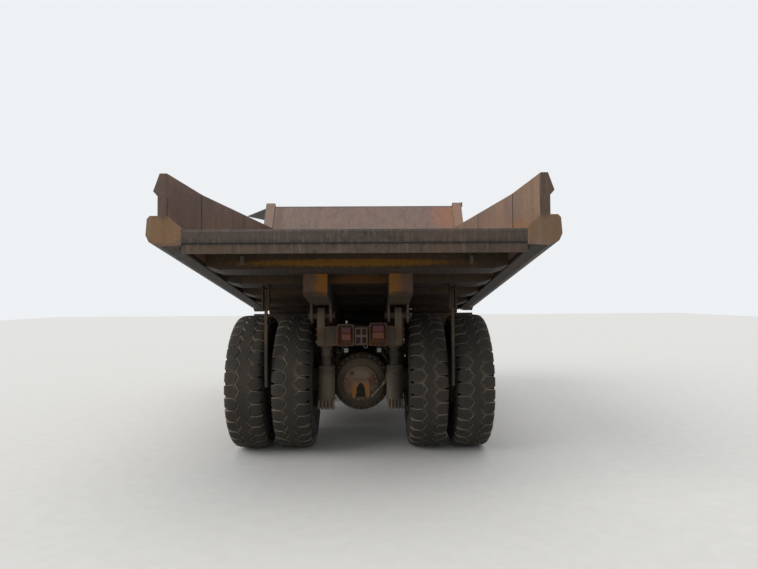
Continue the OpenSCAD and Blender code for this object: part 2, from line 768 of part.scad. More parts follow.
// A tyre, with grooves that part the lugs of its two shoulders
lug_reach = 150;
module tyre(x, y) {
    translate([x, y, axle_z]) rotate([0, 90, 0]) difference() {
        rotate_extrude($fn = 28) tyre_profile();
        for (s = [0, 1]) mirror([0, 0, s]) for (i = [0 : lug_count - 1])
            rotate([0, 0, (i + s / 2) * 360 / lug_count])
                translate([axle_z - groove_d, -groove_w / 2, tyre_w / 2 - lug_reach])
                    cube([groove_d + 50, groove_w, lug_reach + 10]);
    }
}

// Bead seat with its two flanges
module rim_ring(mid) {
    h = tyre_w / 2;
    translate([0, mid]) polygon([[bead_r - 24, 4 - h], [bead_r + bead_lip, 4 - h],
        [bead_r + bead_lip, 21 - h], [bead_r - fit, 25 - h], [bead_r - fit, h - 25],
        [bead_r + bead_lip, h - 21], [bead_r + bead_lip, h - 4], [bead_r - 24, h - 4]]);
}

// Twin rims joined by a spacer band, with the disc and the stepped hub of the final drive
hub_end = rear_mid + 260;
module rear_rims(side) {
    inner_mid = rear_mid - dual_spacing / 2;
    outer_mid = rear_mid + dual_spacing / 2;
    color(yellow) on_side(side) turned(rear_y, axle_z) {
        rim_ring(inner_mid);
        rim_ring(outer_mid);
        polygon([[bead_r - 44, inner_mid - tyre_w / 2 + 60], [bead_r - 20, inner_mid - tyre_w / 2 + 60],
            [bead_r - 20, outer_mid + tyre_w / 2 - 60], [bead_r - 44, outer_mid + tyre_w / 2 - 60]]);
        polygon([[spindle_r + fit, inner_mid - 60], [300, inner_mid - 60], [300, rear_mid],
            [bead_r - 40, rear_mid], [bead_r - 40, rear_mid + 50], [300, rear_mid + 60],
            [290, hub_end], [230, hub_end + 20], [220, hub_end + 110], [120, hub_end + 150],
            [0, hub_end + 155], [0, hub_end + 10], [spindle_r + fit, hub_end + 10]]);
    }
}

front_hub_end = front_track / 2 + 140;
module front_rim(side) {
    mid = front_track / 2;
    color(yellow) on_side(side) turned(front_y, axle_z) {
        rim_ring(mid);
        polygon([[front_spindle_r + fit, mid - 190], [240, mid - 190], [250, mid - 30],
            [bead_r - 20, mid - 10], [bead_r - 20, mid + 30], [260, mid + 40], [200, front_hub_end + 10],
            [150, front_hub_end + 70], [0, front_hub_end + 75], [0, front_hub_end],
            [front_spindle_r + fit, front_hub_end]]);
    }
}

module front_tyre(side) {
    color(rubber) on_side(side) tyre(front_track / 2, front_y);
}

module rear_tyres(side) {
    color(rubber) on_side(side) {
        tyre(rear_mid - dual_spacing / 2, rear_y);
        tyre(rear_mid + dual_spacing / 2, rear_y);
    }
}

// Hoist cylinders: a barrel, a middle stage and a rod, drawn upright and then leaned
hoist_rise = hoist_head - hoist_foot;
hoist_len = norm(hoist_rise);
hoist_lean = atan2(hoist_rise[0], hoist_rise[1]);
eye_r = 115;
eye_w = 120;
barrel_r = 100;
stage_r = 80;
hoist_rod_r = 58;
head_pin_r = 45;
// How far below the head pin the barrel and the stage end, and where their bores start
barrel_short = 150;
stage_short = 125;
barrel_floor = 130;
stage_wall = 15;
module hoist_axes(side) {
    on_side(side) translate([hoist_x, hoist_foot[0], hoist_foot[1]]) rotate([-hoist_lean, 0, 0]) children();
}

module hoist_barrel(side) {
    color(yellow) hoist_axes(side) difference() {
        union() {
            rotate([0, 90, 0]) cylinder(h = eye_w, r = eye_r, center = true);
            translate([0, 0, 95]) cylinder(h = hoist_len - 95 - barrel_short, r = barrel_r);
            translate([0, 0, hoist_len - barrel_short - 70]) cylinder(h = 60, r = barrel_r + 8);
        }
        rotate([0, 90, 0]) cylinder(h = eye_w + 2, r = foot_tube_r + fit, center = true);
        translate([0, 0, barrel_floor]) cylinder(h = hoist_len, r = stage_r + fit);
    }
}

module hoist_stage(side) {
    z0 = barrel_floor + 5;
    color(steel) hoist_axes(side) difference() {
        translate([0, 0, z0]) cylinder(h = hoist_len - z0 - stage_short, r = stage_r);
        translate([0, 0, z0 + stage_wall]) cylinder(h = hoist_len, r = hoist_rod_r + fit);
    }
}

module hoist_rod(side) {
    z0 = barrel_floor + stage_wall + 10;
    color(steel) hoist_axes(side) difference() {
        union() {
            translate([0, 0, z0]) cylinder(h = hoist_len - z0 - 60, r = hoist_rod_r);
            translate([0, 0, hoist_len]) rotate([0, 90, 0]) cylinder(h = eye_w - 10, r = 80, center = true);
        }
        translate([0, 0, hoist_len]) rotate([0, 90, 0])
            cylinder(h = eye_w, r = head_pin_r + 3, center = true);
    }
}

// Body: floor plate with the rounded nosing and the plate of the tail beam
floor_half = inner_x - 135;
side_out = inner_x + 205;
nosing_h = 138;
tail_drop = 242;
nosing_in = 12;
tail_beam_l = 90;
module bed_floor() {
    yb = tail_y + tail_beam_l;
    color(rusty) span_x(-floor_half, floor_half) polygon([
        [tail_y + nosing_in, lip_z - tail_drop], [tail_y + nosing_in, lip_z - nosing_h - 12],
        [tail_y, lip_z - nosing_h], [tail_y, lip_z - 30], [tail_y + 9, lip_z - 9],
        [tail_y + 30, floor_z(tail_y + 30)],
        [wall_y, floor_z(wall_y)], [wall_y, under_floor(wall_y, floor_t)], [yb, under_floor(yb, floor_t)],
        [yb, lip_z - nosing_h - 12], [tail_y + 40, lip_z - nosing_h - 30], [tail_y + 40, lip_z - tail_drop]]);
}

// Cross ribs under the floor, with tapered ends, and the bolster under the front wall
rib_end_taper = 150;
bolster_drop = 60;
module bed_ribs() {
    top = floor_t + seat_gap;
    color(rusty) {
        bed_axes() {
            for (y = rib_ys)
                translate([0, (y - tail_y) / cos(floor_slope), 0]) span_y(0, rib_w)
                    polygon([[-floor_half, -top], [-floor_half, 40 - rib_drop],
                        [rib_end_taper - floor_half, -rib_drop], [floor_half - rib_end_taper, -rib_drop],
                        [floor_half, 40 - rib_drop], [floor_half, -top]]);
            translate([-floor_half, floor_len - 150, -rib_drop]) cube([2 * floor_half, 130, rib_drop - top]);
        }
        span_x(55 - side_out, side_out - 55)
            polygon([[wall_y - 110, under_floor(wall_y - 110, beam_drop - bolster_drop)],
                [wall_y - 10, under_floor(wall_y - 10, beam_drop - bolster_drop)],
                [wall_y - 10, under_floor(wall_y - 10, rib_drop + seat_gap)],
                [wall_y - 110, under_floor(wall_y - 110, rib_drop + seat_gap)]]);
    }
}

// Two long beams with the tipping hinge, the hoist's ears and the ejectors' brackets
ear_t = 30;
hoist_gap = 70;
bracket_t = 17;
ejector_y = rear_y - 870;
ejector_z = 2190;
ejector_pin_r = 18;
ejector_slot = 28;
beam_rear_y = rib_ys[0] + rib_w - 50;
ear_rear_y = pivot_y - 130;
module bed_frame() {
    beam_start = (beam_rear_y - tail_y) / cos(floor_slope);
    beam_in = rail_x - beam_w / 2;
    beam_out = rail_x + beam_w / 2;
    ear_top = beam_drop + seat_gap;
    color(rusty) both_sides() {
        bed_axes() translate([beam_in, beam_start, -beam_drop])
            cube([beam_w, floor_len - 160 - beam_start, beam_drop - rib_drop - seat_gap]);
        // Hinge ears with their pin
        for (x = [beam_in, beam_out - ear_t]) span_x(x, x + ear_t) {
            polygon([[ear_rear_y, under_floor(ear_rear_y, ear_top)],
                [pivot_y + 230, under_floor(pivot_y + 230, ear_top)],
                [pivot_y + 90, pivot_z - 40], [pivot_y - 90, pivot_z - 40]]);
            translate([pivot_y, pivot_z]) circle(r = 100);
        }
        rod_x(beam_in - 25, beam_out + 25, pivot_y, pivot_z, pivot_r);
        // Ears for the hoist rod, with the ends of its pin
        for (s = [-1, 1]) translate([hoist_x, 0, 0]) mirror([s < 0 ? 1 : 0, 0, 0]) {
            span_x(hoist_gap, hoist_gap + ear_t) {
                polygon([[hoist_head[0] - 150, under_floor(hoist_head[0] - 150, floor_t + seat_gap)],
                    [hoist_head[0] + 150, under_floor(hoist_head[0] + 150, floor_t + seat_gap)],
                    [hoist_head[0] + 76, hoist_head[1] - 10], [hoist_head[0] - 76, hoist_head[1] - 10]]);
                translate(hoist_head) circle(r = 80);
            }
            rod_x(hoist_gap + 10, hoist_gap + ear_t + 12, hoist_head[0], hoist_head[1], head_pin_r);
        }
        // Bracket of the rock ejector: two plates under a cross piece
        for (x = [rear_mid - ejector_slot - bracket_t, rear_mid + ejector_slot])
            span_x(x, x + bracket_t) difference() {
                polygon([[ejector_y - 60, ejector_z - 250], [ejector_y + 60, ejector_z - 250],
                    [ejector_y + 60, under_floor(ejector_y + 60, rib_drop + seat_gap)],
                    [ejector_y - 60, under_floor(ejector_y - 60, rib_drop + seat_gap)]]);
                translate([ejector_y, ejector_z]) circle(r = ejector_pin_r + fit);
            }
        span_x(rear_mid - ejector_slot - bracket_t, rear_mid + ejector_slot + bracket_t)
            polygon([[ejector_y - 60, ejector_z + 60], [ejector_y + 60, ejector_z + 60],
                [ejector_y + 60, under_floor(ejector_y + 60, rib_drop + seat_gap)],
                [ejector_y - 60, under_floor(ejector_y - 60, rib_drop + seat_gap)]]);
    }
}

// Section of the top rail: X out from the wall's face, Z from the wall's top
module top_rail_profile() {
    polygon([[inner_x, 0], [inner_x + 71, 0], [inner_x + 133, -173], [inner_x + 85, -228],
        [inner_x, -228]]);
}

// The frame of the front wall: its Y stands out ahead of the wall, its Z runs up along it
module wall_axes() {
    translate([0, wall_y, floor_z(wall_y)]) rotate([-wall_lean, 0, 0]) children();
}
wall_h = (headboard_z - floor_z(wall_y)) / cos(wall_lean);

// Everything ahead of the front wall and of the posts at its ends
post_proud = 20;
module beyond_wall() {
    wall_axes() {
        translate([0, 0, -3000]) linear_extrude(9000) polygon([[-3000, 0], [inner_x - 1, 0],
            [inner_x - 1, -post_proud - seat_gap], [3000, -post_proud - seat_gap], [3000, 3000],
            [-3000, 3000]]);
    }
}

// A side wall: the lower rail with its sloped corner plate, the plate, stakes and the top rail
stake_w = 110;
stake_out = 90;
rail_drop_z = 215;
module bed_side(side) {
    bend_y = tail_y + tail_section;
    color(rusty) on_side(side) difference() {
        union() {
            intersection() {
                bed_axes() span_y(-50, floor_len) polygon([[floor_half + seat_gap, -160],
                    [floor_half + 200, -172], [side_out - 30, -125], [side_out, -60], [side_out - 12, 95],
                    [side_out - 40, 125], [inner_x, 125], [floor_half + seat_gap, 10]]);
                block([0, tail_y, 0], [3000, nose_y, 4000]);
            }
            span_x(inner_x, inner_x + wall_t) polygon([[tail_y, floor_z(tail_y) + 120],
                [wall_y, floor_z(wall_y) + 120], [wall_y + 1500, floor_z(wall_y) + 120],
                [wall_y + 1500, rim_z(wall_y + 1500) - 20],
                [bend_y, tail_wall_z - 20], [tail_y, tail_wall_z - 20]]);
            translate([0, 0, tail_wall_z]) span_y(tail_y, bend_y) top_rail_profile();
            translate([0, bend_y - 20, tail_wall_z]) rotate([rim_rise, 0, 0])
                span_y(0, floor_run + 600) top_rail_profile();
            // Stakes between the two rails, one at the tail and one over each rib
            for (y = [tail_y, for (rib = rib_ys) rib + rib_w / 2])
                block([inner_x + 1, y, floor_z(y) + 60],
                    [inner_x + stake_out, y + stake_w, rim_z(y) - rail_drop_z]);
        }
        beyond_wall();
    }
}

// Front wall with its level ribs, two uprights and the posts at its ends
wall_rib_out = 110;
bed_post_w = 180;
bed_post_t = 150;
bed_post_up = 90;
module bed_posts(g) {
    wall_axes() both_sides() translate([inner_x - g, -post_proud - g, -120])
        cube([bed_post_w + 2 * g, post_proud + bed_post_t + 2 * g, wall_h + bed_post_up + 120 + g]);
}

module bed_front_wall() {
    color(rusty) wall_axes() {
        translate([-inner_x, 0, 0]) cube([2 * inner_x, wall_t, wall_h]);
        for (z = [0.13, 0.41, 0.68, 0.92] * wall_h)
            span_x(-inner_x, inner_x) polygon([[wall_t, z - 30], [wall_t + wall_rib_out, z + 10],
                [wall_t + wall_rib_out, z + 100], [wall_t, z + 140]]);
        for (x = [-rail_x, rail_x]) translate([x - beam_w / 2, wall_t, 0])
            cube([beam_w, wall_rib_out - 30, wall_h - 60]);
    }
    color(rusty) bed_posts(0);
}

// Canopy over the cab, with ribs below and a low rim along its edges
canopy_left = mirror_span / 2;
canopy_rib = 90;
canopy_corner = [360, 810];
module bed_canopy() {
    y0 = lean_y(headboard_z);
    y1 = y0 + canopy_run;
    right = side_out;
    corner_x = canopy_corner[0] - canopy_left;
    outline = [[-inner_x - 90, y0], [-canopy_left, y1 - canopy_corner[1]], [corner_x, y1], [1200, y1],
        [right, y0 + 1000], [right, y0]];
    color(rusty) difference() {
        union() {
            translate([0, 0, headboard_z]) linear_extrude(wall_t) polygon(outline);
            for (x = [-1500, -rail_x, rail_x, 1100]) span_x(x - 40, x + 40)
                polygon([[y0 + 80, headboard_z - 140], [y1 - 20, headboard_z - 50],
                    [y1 - 20, headboard_z], [y0 + 80, headboard_z]]);
            // Rim
            span_x(corner_x, 1200) translate([y1 - 20, headboard_z]) square([20, canopy_rib]);
            block([right - 20, y0, headboard_z], [right, y0 + 1000, headboard_z + canopy_rib]);
        }
        bed_posts(seat_gap);
    }
}

// Bars that hang between the twin tyres and throw out trapped rocks
bar_half = 17;
bar_foot_z = 960;
module rock_ejector(side) {
    pin_out = ejector_slot + bracket_t + 8;
    color(rusty) on_side(side) {
        rod_x(rear_mid - pin_out, rear_mid + pin_out, ejector_y, ejector_z, ejector_pin_r);
        span_x(rear_mid - bar_half, rear_mid + bar_half)
            polygon([[ejector_y - 24, ejector_z], [ejector_y - 24, bar_foot_z + 250],
                [ejector_y - 10, bar_foot_z], [ejector_y + 24, bar_foot_z],
                [ejector_y + 34, bar_foot_z + 250], [ejector_y + 24, ejector_z]]);
        rod_x(rear_mid - bar_half, rear_mid + bar_half, ejector_y, ejector_z, 34);
    }
}

// Tail lamps on the rear cross member: a box on each side, a guard between them, two work lamps
lamp_plate_t = 20;
lamp_box_d = 90;
lamp_wall = 8;
lamp_d = 50;
work_lamp_r = 34;
lamp_h = 84;
module lamp_box(x0, x1, z0, z1, lamp_x0, lamp_x1, lamp_top) {
    y1 = rear_member_y - lamp_plate_t + 1;
    span_y(y1 - lamp_box_d, y1) difference() {
        rounded([x0, z0], [x1, z1], 15);
        rounded([x0 + lamp_wall, z0 + lamp_wall], [x1 - lamp_wall, z1 - lamp_wall], 10);
    }
    for (z = [lamp_top, lamp_top - lamp_h - 3]) span_y(y1 - lamp_d, y1)
        rounded([lamp_x0, z - lamp_h], [lamp_x1, z], 15);
}

module tail_lamps() {
    y1 = rear_member_y - lamp_plate_t;
    color("darkred") {
        block([-300, y1, 1490], [350, rear_member_y, 1720]);
        lamp_box(-283, -75, 1487, 1758, -228, -110, 1723);
        lamp_box(126, 349, 1487, 1772, 161, 308, 1743);
        // Guard
        for (x = [-60, 85]) block([x, y1 - 70, 1500], [x + 16, y1 + 1, 1715]);
        block([-60, y1 - 80, 1595], [101, y1 - 66, 1625]);
        block([12, y1 - 80, 1500], [32, y1 - 66, 1715]);
        block([-60, y1 - 80, 1500], [101, y1 - 66, 1514]);
        block([-60, y1 - 80, 1701], [101, y1 - 66, 1715]);
        // Work lamps on stems below
        for (x = [-170, 245]) {
            block([x - 12, y1 - 30, 1440], [x + 12, y1 - 18, 1520]);
            translate([x, y1 - 10, 1430]) rotate([90, 0, 0]) cylinder(h = 60, r = work_lamp_r);
        }
    }
}

mirror_w = 220;
mirror_arm_r = 14;
module mirrors() {
    x = mirror_span / 2;
    z = deck_z + 900;
    color(dark) both_sides() {
        span_y(deck_nose - 100, deck_nose - 60) rounded([x - mirror_w, deck_z + 700], [x, deck_z + 1150], 40);
        tube([deck_out - rail_edge + rail_r + seat_gap, deck_nose - rail_edge, z],
            [x - mirror_w / 2, deck_nose - 80, z], mirror_arm_r);
    }
}

frame();
engine_block();
driveline();
radiator_grille();
hood();
decks();
bumper();
headlamps();
ladders();
handrails();
cab_shell();
cab_glass();
operator_seat();
steering_column();
side_tanks();
air_cleaners();
rear_axle();
suspension_struts();
steering_cylinders();
tail_lamps();
mirrors();
cab_door();
door_glass();
knuckle(-1);  // knuckle_left
knuckle(1);  // knuckle_right
front_rim(-1);  // front_rim_left
front_rim(1);  // front_rim_right
front_tyre(-1);  // front_tyre_left
front_tyre(1);  // front_tyre_right
rear_rims(-1);  // rear_rims_left
rear_rims(1);  // rear_rims_right
rear_tyres(-1);  // rear_tyres_left
rear_tyres(1);  // rear_tyres_right
tie_rod();
steering_rod(-1);  // steering_rod_left
steering_rod(1);  // steering_rod_right
hoist_barrel(-1);  // hoist_barrel_left
hoist_barrel(1);  // hoist_barrel_right
hoist_stage(-1);  // hoist_stage_left
hoist_stage(1);  // hoist_stage_right
hoist_rod(-1);  // hoist_rod_left
hoist_rod(1);  // hoist_rod_right
bed_floor();
bed_frame();
bed_ribs();
bed_side(-1);  // bed_side_left
bed_side(1);  // bed_side_right
bed_front_wall();
bed_canopy();
rock_ejector(-1);  // rock_ejector_left
rock_ejector(1);  // rock_ejector_right
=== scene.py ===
# %% [markdown]
# # A mining dump truck, seen from behind
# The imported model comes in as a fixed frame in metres: X to the truck's right, Y forward, Z up,
# with the ground at Z = 0. Its steel forms are done. What this lesson adds is what the eye reads on
# top of them: paint, rust and dust, the tyres' tread, lenses, bolts, pipes and welds. Every new
# piece rides on one of the model's bodies, so it moves when the body tips or a wheel turns.

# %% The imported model
import json
import math

import bpy
from mathutils import Matrix, Vector


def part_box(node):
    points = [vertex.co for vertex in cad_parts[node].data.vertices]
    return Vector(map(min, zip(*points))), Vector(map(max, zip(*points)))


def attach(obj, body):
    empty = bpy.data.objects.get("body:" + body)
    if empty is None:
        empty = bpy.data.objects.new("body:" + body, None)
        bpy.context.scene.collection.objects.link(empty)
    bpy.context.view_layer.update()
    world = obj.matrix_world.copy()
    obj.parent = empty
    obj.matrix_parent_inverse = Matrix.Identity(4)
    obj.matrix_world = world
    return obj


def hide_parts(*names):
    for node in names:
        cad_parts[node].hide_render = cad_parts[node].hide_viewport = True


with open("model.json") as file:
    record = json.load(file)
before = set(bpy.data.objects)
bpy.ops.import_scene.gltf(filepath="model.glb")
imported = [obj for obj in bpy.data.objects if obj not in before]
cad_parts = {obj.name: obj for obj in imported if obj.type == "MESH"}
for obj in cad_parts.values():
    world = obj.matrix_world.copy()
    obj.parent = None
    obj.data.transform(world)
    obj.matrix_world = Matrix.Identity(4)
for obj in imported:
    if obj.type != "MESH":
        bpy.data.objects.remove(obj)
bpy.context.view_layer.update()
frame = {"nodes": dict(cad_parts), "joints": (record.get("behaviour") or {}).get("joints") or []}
SIDES = {"left": -1, "right": 1}

# %% [markdown]
# The main places are read from the model's own boxes and joints, so a piece stays on what carries
# it. Typing them all would be shorter, but then a change to the model would leave bolts hanging in
# the air. Small offsets are typed where they are used, and so is the floor's height at the tail.

# %% Places on the truck
JOINTS = {j["name"]: j for j in frame["joints"]}
REAR_AXLE = Vector(JOINTS["rear_wheel_spin_right"]["pos_m"])
FRONT_AXLE = Vector(JOINTS["front_wheel_spin_right"]["pos_m"])
TAIL_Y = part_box("bed_floor")[0].y
LIP_Z = 2.765
print("axles at", round(REAR_AXLE.y, 3), "and", round(FRONT_AXLE.y, 3), "tail at", round(TAIL_Y, 3))

# %% [markdown]
# ## Camera
# The photograph was taken at eye level, 9.2 m behind the truck's middle, with a wide lens. A
# camera could be aimed by eye, but then near and far parts hide each other differently. Its place,
# lens and slight roll were found instead by matching measured corners, to within two pixels.

# %% Camera
SENSOR_MM, LENS_MM, FAR_M = 36, 25.4, 200
EYE = (0.167, -9.198, 2.077)
# Each turn in degrees, and its axis
PAN, TILT, ROLL = (-0.695, "Z"), (91.534, "X"), (-0.366, "Z")
camera = bpy.data.objects.new("camera", bpy.data.cameras.new("camera"))
bpy.context.collection.objects.link(camera)
camera.data.sensor_width = SENSOR_MM
camera.data.lens = LENS_MM
camera.data.clip_end = FAR_M
camera.location = EYE
pan, tilt, roll = [Matrix.Rotation(math.radians(a), 4, axis) for a, axis in (PAN, TILT, ROLL)]
camera.rotation_euler = (pan @ tilt @ roll).to_euler()
bpy.context.scene.camera = camera
bpy.context.scene.view_settings.view_transform = "Standard"
print("camera", tuple(round(v, 2) for v in camera.location))

# %% [markdown]
# ## Materials
# A finish is a small network of nodes. Writing each node out by hand in Blender's editor is clear
# but slow, so here one function adds any node with its settings and links. Colours are written as
# the eye sees them on a screen, in sRGB hex, and one function turns them to the linear values that
# the shader mixes.


# %% Colour and node tools
def rgb(code):
    """A colour written as sRGB hex, in linear values."""
    parts = [int(code[i : i + 2], 16) / 255 for i in (1, 3, 5)]
    return (*[p / 12.92 if p <= 0.04045 else ((p + 0.055) / 1.055) ** 2.4 for p in parts], 1.0)


def add(tree, kind, inputs, out=0, **settings):
    """Adds a node with its settings and links, and gives one of its outputs."""
    made = tree.nodes.new("ShaderNode" + kind)
    for name, value in settings.items():
        setattr(made, name, value)
    for key, value in inputs.items():
        if isinstance(value, bpy.types.NodeSocket):
            tree.links.new(value, made.inputs[key])
        else:
            made.inputs[key].default_value = value
    return made.outputs[out] if made.outputs else None


def blank(name):
    """A new material with an empty tree, and the place of each point in metres."""
    material = bpy.data.materials.new(name)
    material.use_nodes = True
    tree = material.node_tree
    tree.nodes.clear()
    return material, tree, add(tree, "TexCoord", {}, "Object")


def per(mm):
    """The texture scale whose cells are this many millimetres wide."""
    return 1000 / mm


SMOOTH = {"interpolation_type": "SMOOTHSTEP"}
COLOUR = {"data_type": "RGBA"}


def layer(tree, colour, source, low, high, tint, most=1.0):
    """Lays a tint over a colour, from none where the source is low to the most where it is high."""
    share = add(tree, "MapRange", {0: source, 1: low, 2: high, 4: most}, **SMOOTH)
    return add(tree, "Mix", {0: share, 6: colour, 7: rgb(tint)}, 2, **COLOUR)


print("a 70 mm chip is texture scale", round(per(70), 1))

# %% [markdown]
# A real machine isn't stained evenly: a corner block is rubbed to ochre, a rib keeps its yellow in
# the middle, a cover weeps oil. A mark is one such place. It is an ellipsoid round a point, whose
# edge is made ragged by the material's own noise, and inside it the colour turns to another.
# Painting it by place keeps it on the steel in every view, where a picture would need unwrapping.


# %% Marks
def mark(tree, place, grain, colour, middle, reach, tint, strength=0.8, ragged=0.9):
    """Turns the colour to a tint near one place, out to its reach along X, Y and Z."""
    away = add(tree, "VectorMath", {0: place, 1: middle}, operation="SUBTRACT")
    away = add(tree, "VectorMath", {0: away, 1: [1 / r for r in reach]}, operation="MULTIPLY")
    far = add(tree, "VectorMath", {0: away}, "Value", operation="LENGTH")
    far = add(tree, "Math", {0: grain, 1: ragged, 2: far}, operation="MULTIPLY_ADD")
    # The grain is one half on average, so this edge lies at the mark's reach
    edge, soft = 1 + ragged / 2, 0.03 + 0.22 * ragged
    return layer(tree, colour, far, edge + soft, edge - soft, tint, strength)


print("marks have", mark.__defaults__, "as their usual strength and raggedness")

# %% [markdown]
# ### Old alkyd enamel
# Machine yellow is alkyd enamel, sprayed over primer. With age it chalks and fades in clouds the
# size of a hand or larger, chips to rust in spots of a few centimetres, and rust runs down from
# there in narrow streaks. Dust lies on whatever faces up. The eye reads age from those three
# sizes together, so each has its own noise, and one recipe with a few numbers serves every panel.


# %% Enamel recipe
FADE_MM, CHIP_MM, RUN_MM, RUN_LONG_MM, PATCH_MM = 600, 70, 37, 480, 200
DEEP_RUST = "#22180f"


def worn_enamel(name, paint, rust, dust, wear, dirt, roughness=0.6, marks=()):
    """Faded, chipped and streaked paint under a film of dust."""
    material, tree, place = blank(name)
    clouds = add(tree, "TexNoise", {"Vector": place, "Scale": per(FADE_MM), "Detail": 6.0})
    fine = {"Vector": place, "Scale": per(CHIP_MM), "Detail": 9.0, "Roughness": 0.7}
    chips = add(tree, "TexNoise", fine)
    tall = (per(RUN_MM), per(RUN_MM), per(RUN_LONG_MM))
    upright = add(tree, "Mapping", {"Vector": place, "Scale": tall})
    runs = add(tree, "TexNoise", {"Vector": upright, "Scale": 1.0, "Detail": 5.0})
    # Bare steel shows in spots and in runs below them, and more of it where the wear is high
    spots = add(tree, "Mix", {0: 0.4, 2: clouds, 3: chips})
    low = 0.62 - 0.2 * wear
    bare = add(tree, "MapRange", {0: spots, 1: low, 2: low + 0.1}, **SMOOTH)
    streaks = add(tree, "MapRange", {0: runs, 1: 0.5, 2: 0.72, 4: 0.75 * wear}, **SMOOTH)
    bare = add(tree, "Math", {0: bare, 1: streaks}, operation="MAXIMUM")
    # Sound paint fades towards the dust's colour, and rust has dark pits
    sound = layer(tree, rgb(paint), clouds, 0.35, 0.7, dust, 0.5)
    rusted = layer(tree, rgb(rust), chips, 0.35, 0.7, DEEP_RUST, 0.6)
    colour = add(tree, "Mix", {0: bare, 6: sound, 7: rusted}, 2, **COLOUR)
    for settings in marks:
        colour = mark(tree, place, chips, colour, *settings)
    # Dust lies on what faces up, and in thin patches elsewhere
    up = add(tree, "SeparateXYZ", {0: add(tree, "TexCoord", {}, "Normal")}, "Z")
    film = add(tree, "MapRange", {0: up, 1: 0.15, 2: 0.95, 4: dirt}, **SMOOTH)
    patches = add(tree, "TexNoise", {"Vector": place, "Scale": per(PATCH_MM)})
    patches = add(tree, "MapRange", {0: patches, 1: 0.45, 2: 0.75, 4: 0.35 * dirt}, **SMOOTH)
    film = add(tree, "Math", {0: film, 1: patches}, operation="ADD", use_clamp=True)
    colour = add(tree, "Mix", {0: film, 6: colour, 7: rgb(dust)}, 2, **COLOUR)
    rough = {0: chips, 1: 0.3, 2: 0.7, 3: roughness - 0.1, 4: roughness + 0.2}
    rough = add(tree, "MapRange", rough)
    height = add(tree, "Math", {0: bare, 1: 0.35, 2: chips}, operation="MULTIPLY_ADD")
    relief = add(tree, "Bump", {"Height": height, "Strength": 0.35, "Distance": 0.006})
    shader = {"Base Color": colour, "Roughness": rough, "Normal": relief}
    add(tree, "OutputMaterial", {0: add(tree, "BsdfPrincipled", shader)})
    return material


print("enamel fades over", FADE_MM, "mm, chips at", CHIP_MM, "mm and runs", RUN_LONG_MM, "mm down")

# %% [markdown]
# The frame's rear end is the darkest paint on the truck: the cross member and the rails under the
# body are painted darker, partly with dirt that the tyres throw and partly as painted shade, while
# the two hinge posts are rubbed down to a grey-brown. The beams under the body keep fresh ochre
# only on the inner half of their end faces, and their inner sides are painted dark as the shade
# between them. All the yellows are one paint at different ages, so one recipe makes them, and
# marks carry what differs from place to place.

# %% Painted parts
BEAM_X = 0.495
BEAM_FACE_Y = -3.05
# A mark is its middle, its reach, its tint, its strength and how ragged its edge is
frame_marks = [
    # The cross member behind the lamps and the frame under the body are dark: partly dirt, partly
    # painted shade
    ((0, -2.34, 1.62), (0.47, 0.3, 0.16), "#211b15", 0.9, 1.4),
    ((0, -1.9, 1.5), (0.9, 1.1, 0.35), "#2f271f", 0.8),
]
beam_marks = []
for s in SIDES.values():
    frame_marks += [
        ((s * BEAM_X, -2.33, 1.86), (0.07, 0.12, 0.15), "#5a5045", 0.85, 0.8),
        # Darker rails under the body: partly dirt, partly painted shade
        ((s * BEAM_X, -0.2, 1.35), (0.12, 1.2, 0.3), "#3d3226", 0.7),
    ]
    beam_marks += [
        ((s * 0.53, BEAM_FACE_Y, 2.25), (0.2, 0.1, 0.5), "#715646", 0.9, 0.3),
        ((s * 0.37, BEAM_FACE_Y, 2.3), (0.12, 0.1, 0.3), "#a3691d", 0.9, 2.2),
        ((s * BEAM_X, -2.7, 2.12), (0.3, 0.5, 0.06), "#2b221a", 0.7),
        ((s * BEAM_X, -2.24, 1.86), (0.2, 0.16, 0.14), "#655850", 0.7),
        # Dark inner sides of the beams: painted shade between them
        ((s * 0.34, -2.0, 2.2), (0.05, 1.0, 0.3), "#231c16", 0.85, 0.5),
    ]
low_mud = [((0, 2.5, 0.6), (40, 40, 0.75), "#75674f", 0.55, 1.6)]
# The rear rims are painted near black between the twin tyres: painted shade of the gap
TWIN_GAP_SHADE = ((0.35, 6, 6), "#28211a", 0.96, 0.1)
twin_gap_shade = [((s * 0.9, REAR_AXLE.y, REAR_AXLE.z), *TWIN_GAP_SHADE) for s in SIDES.values()]

frame_paint = ("#8d6a28", "#4c3623", "#7d6d57", 0.6, 0.5, 0.65)
cab_paint = ("#ad822a", "#6a4524", "#8d7f66", 0.32, 0.5, 0.5)
wheel_paint = ("#936e2b", "#4c3826", "#7d6f5a", 0.55, 0.6, 0.65)
beam_paint = ("#4a3826", "#30251b", "#5d4f3f", 0.5, 0.3, 0.7)
OLD_YELLOW = worn_enamel("frame_enamel", *frame_paint, frame_marks)
CAB_YELLOW = worn_enamel("cab_enamel", *cab_paint, low_mud)
WHEEL_YELLOW = worn_enamel("wheel_enamel", *wheel_paint)
REAR_YELLOW_GAP_SHADED = worn_enamel("rear_wheel_enamel_gap_shade", *wheel_paint, twin_gap_shade)
BEAM_PAINT = worn_enamel("beam_enamel", *beam_paint, beam_marks)
print("enamels", [m.name for m in (OLD_YELLOW, CAB_YELLOW, WHEEL_YELLOW, BEAM_PAINT)])

# %% [markdown]
# Cast iron and cast steel have no paint left to speak of. They are dark under a skin of dried mud,
# so the same recipe does for them with mud in place of the paint. The axle's cover has rust
# freckles round its plug, an old oil stain, and a guard in faded orange.

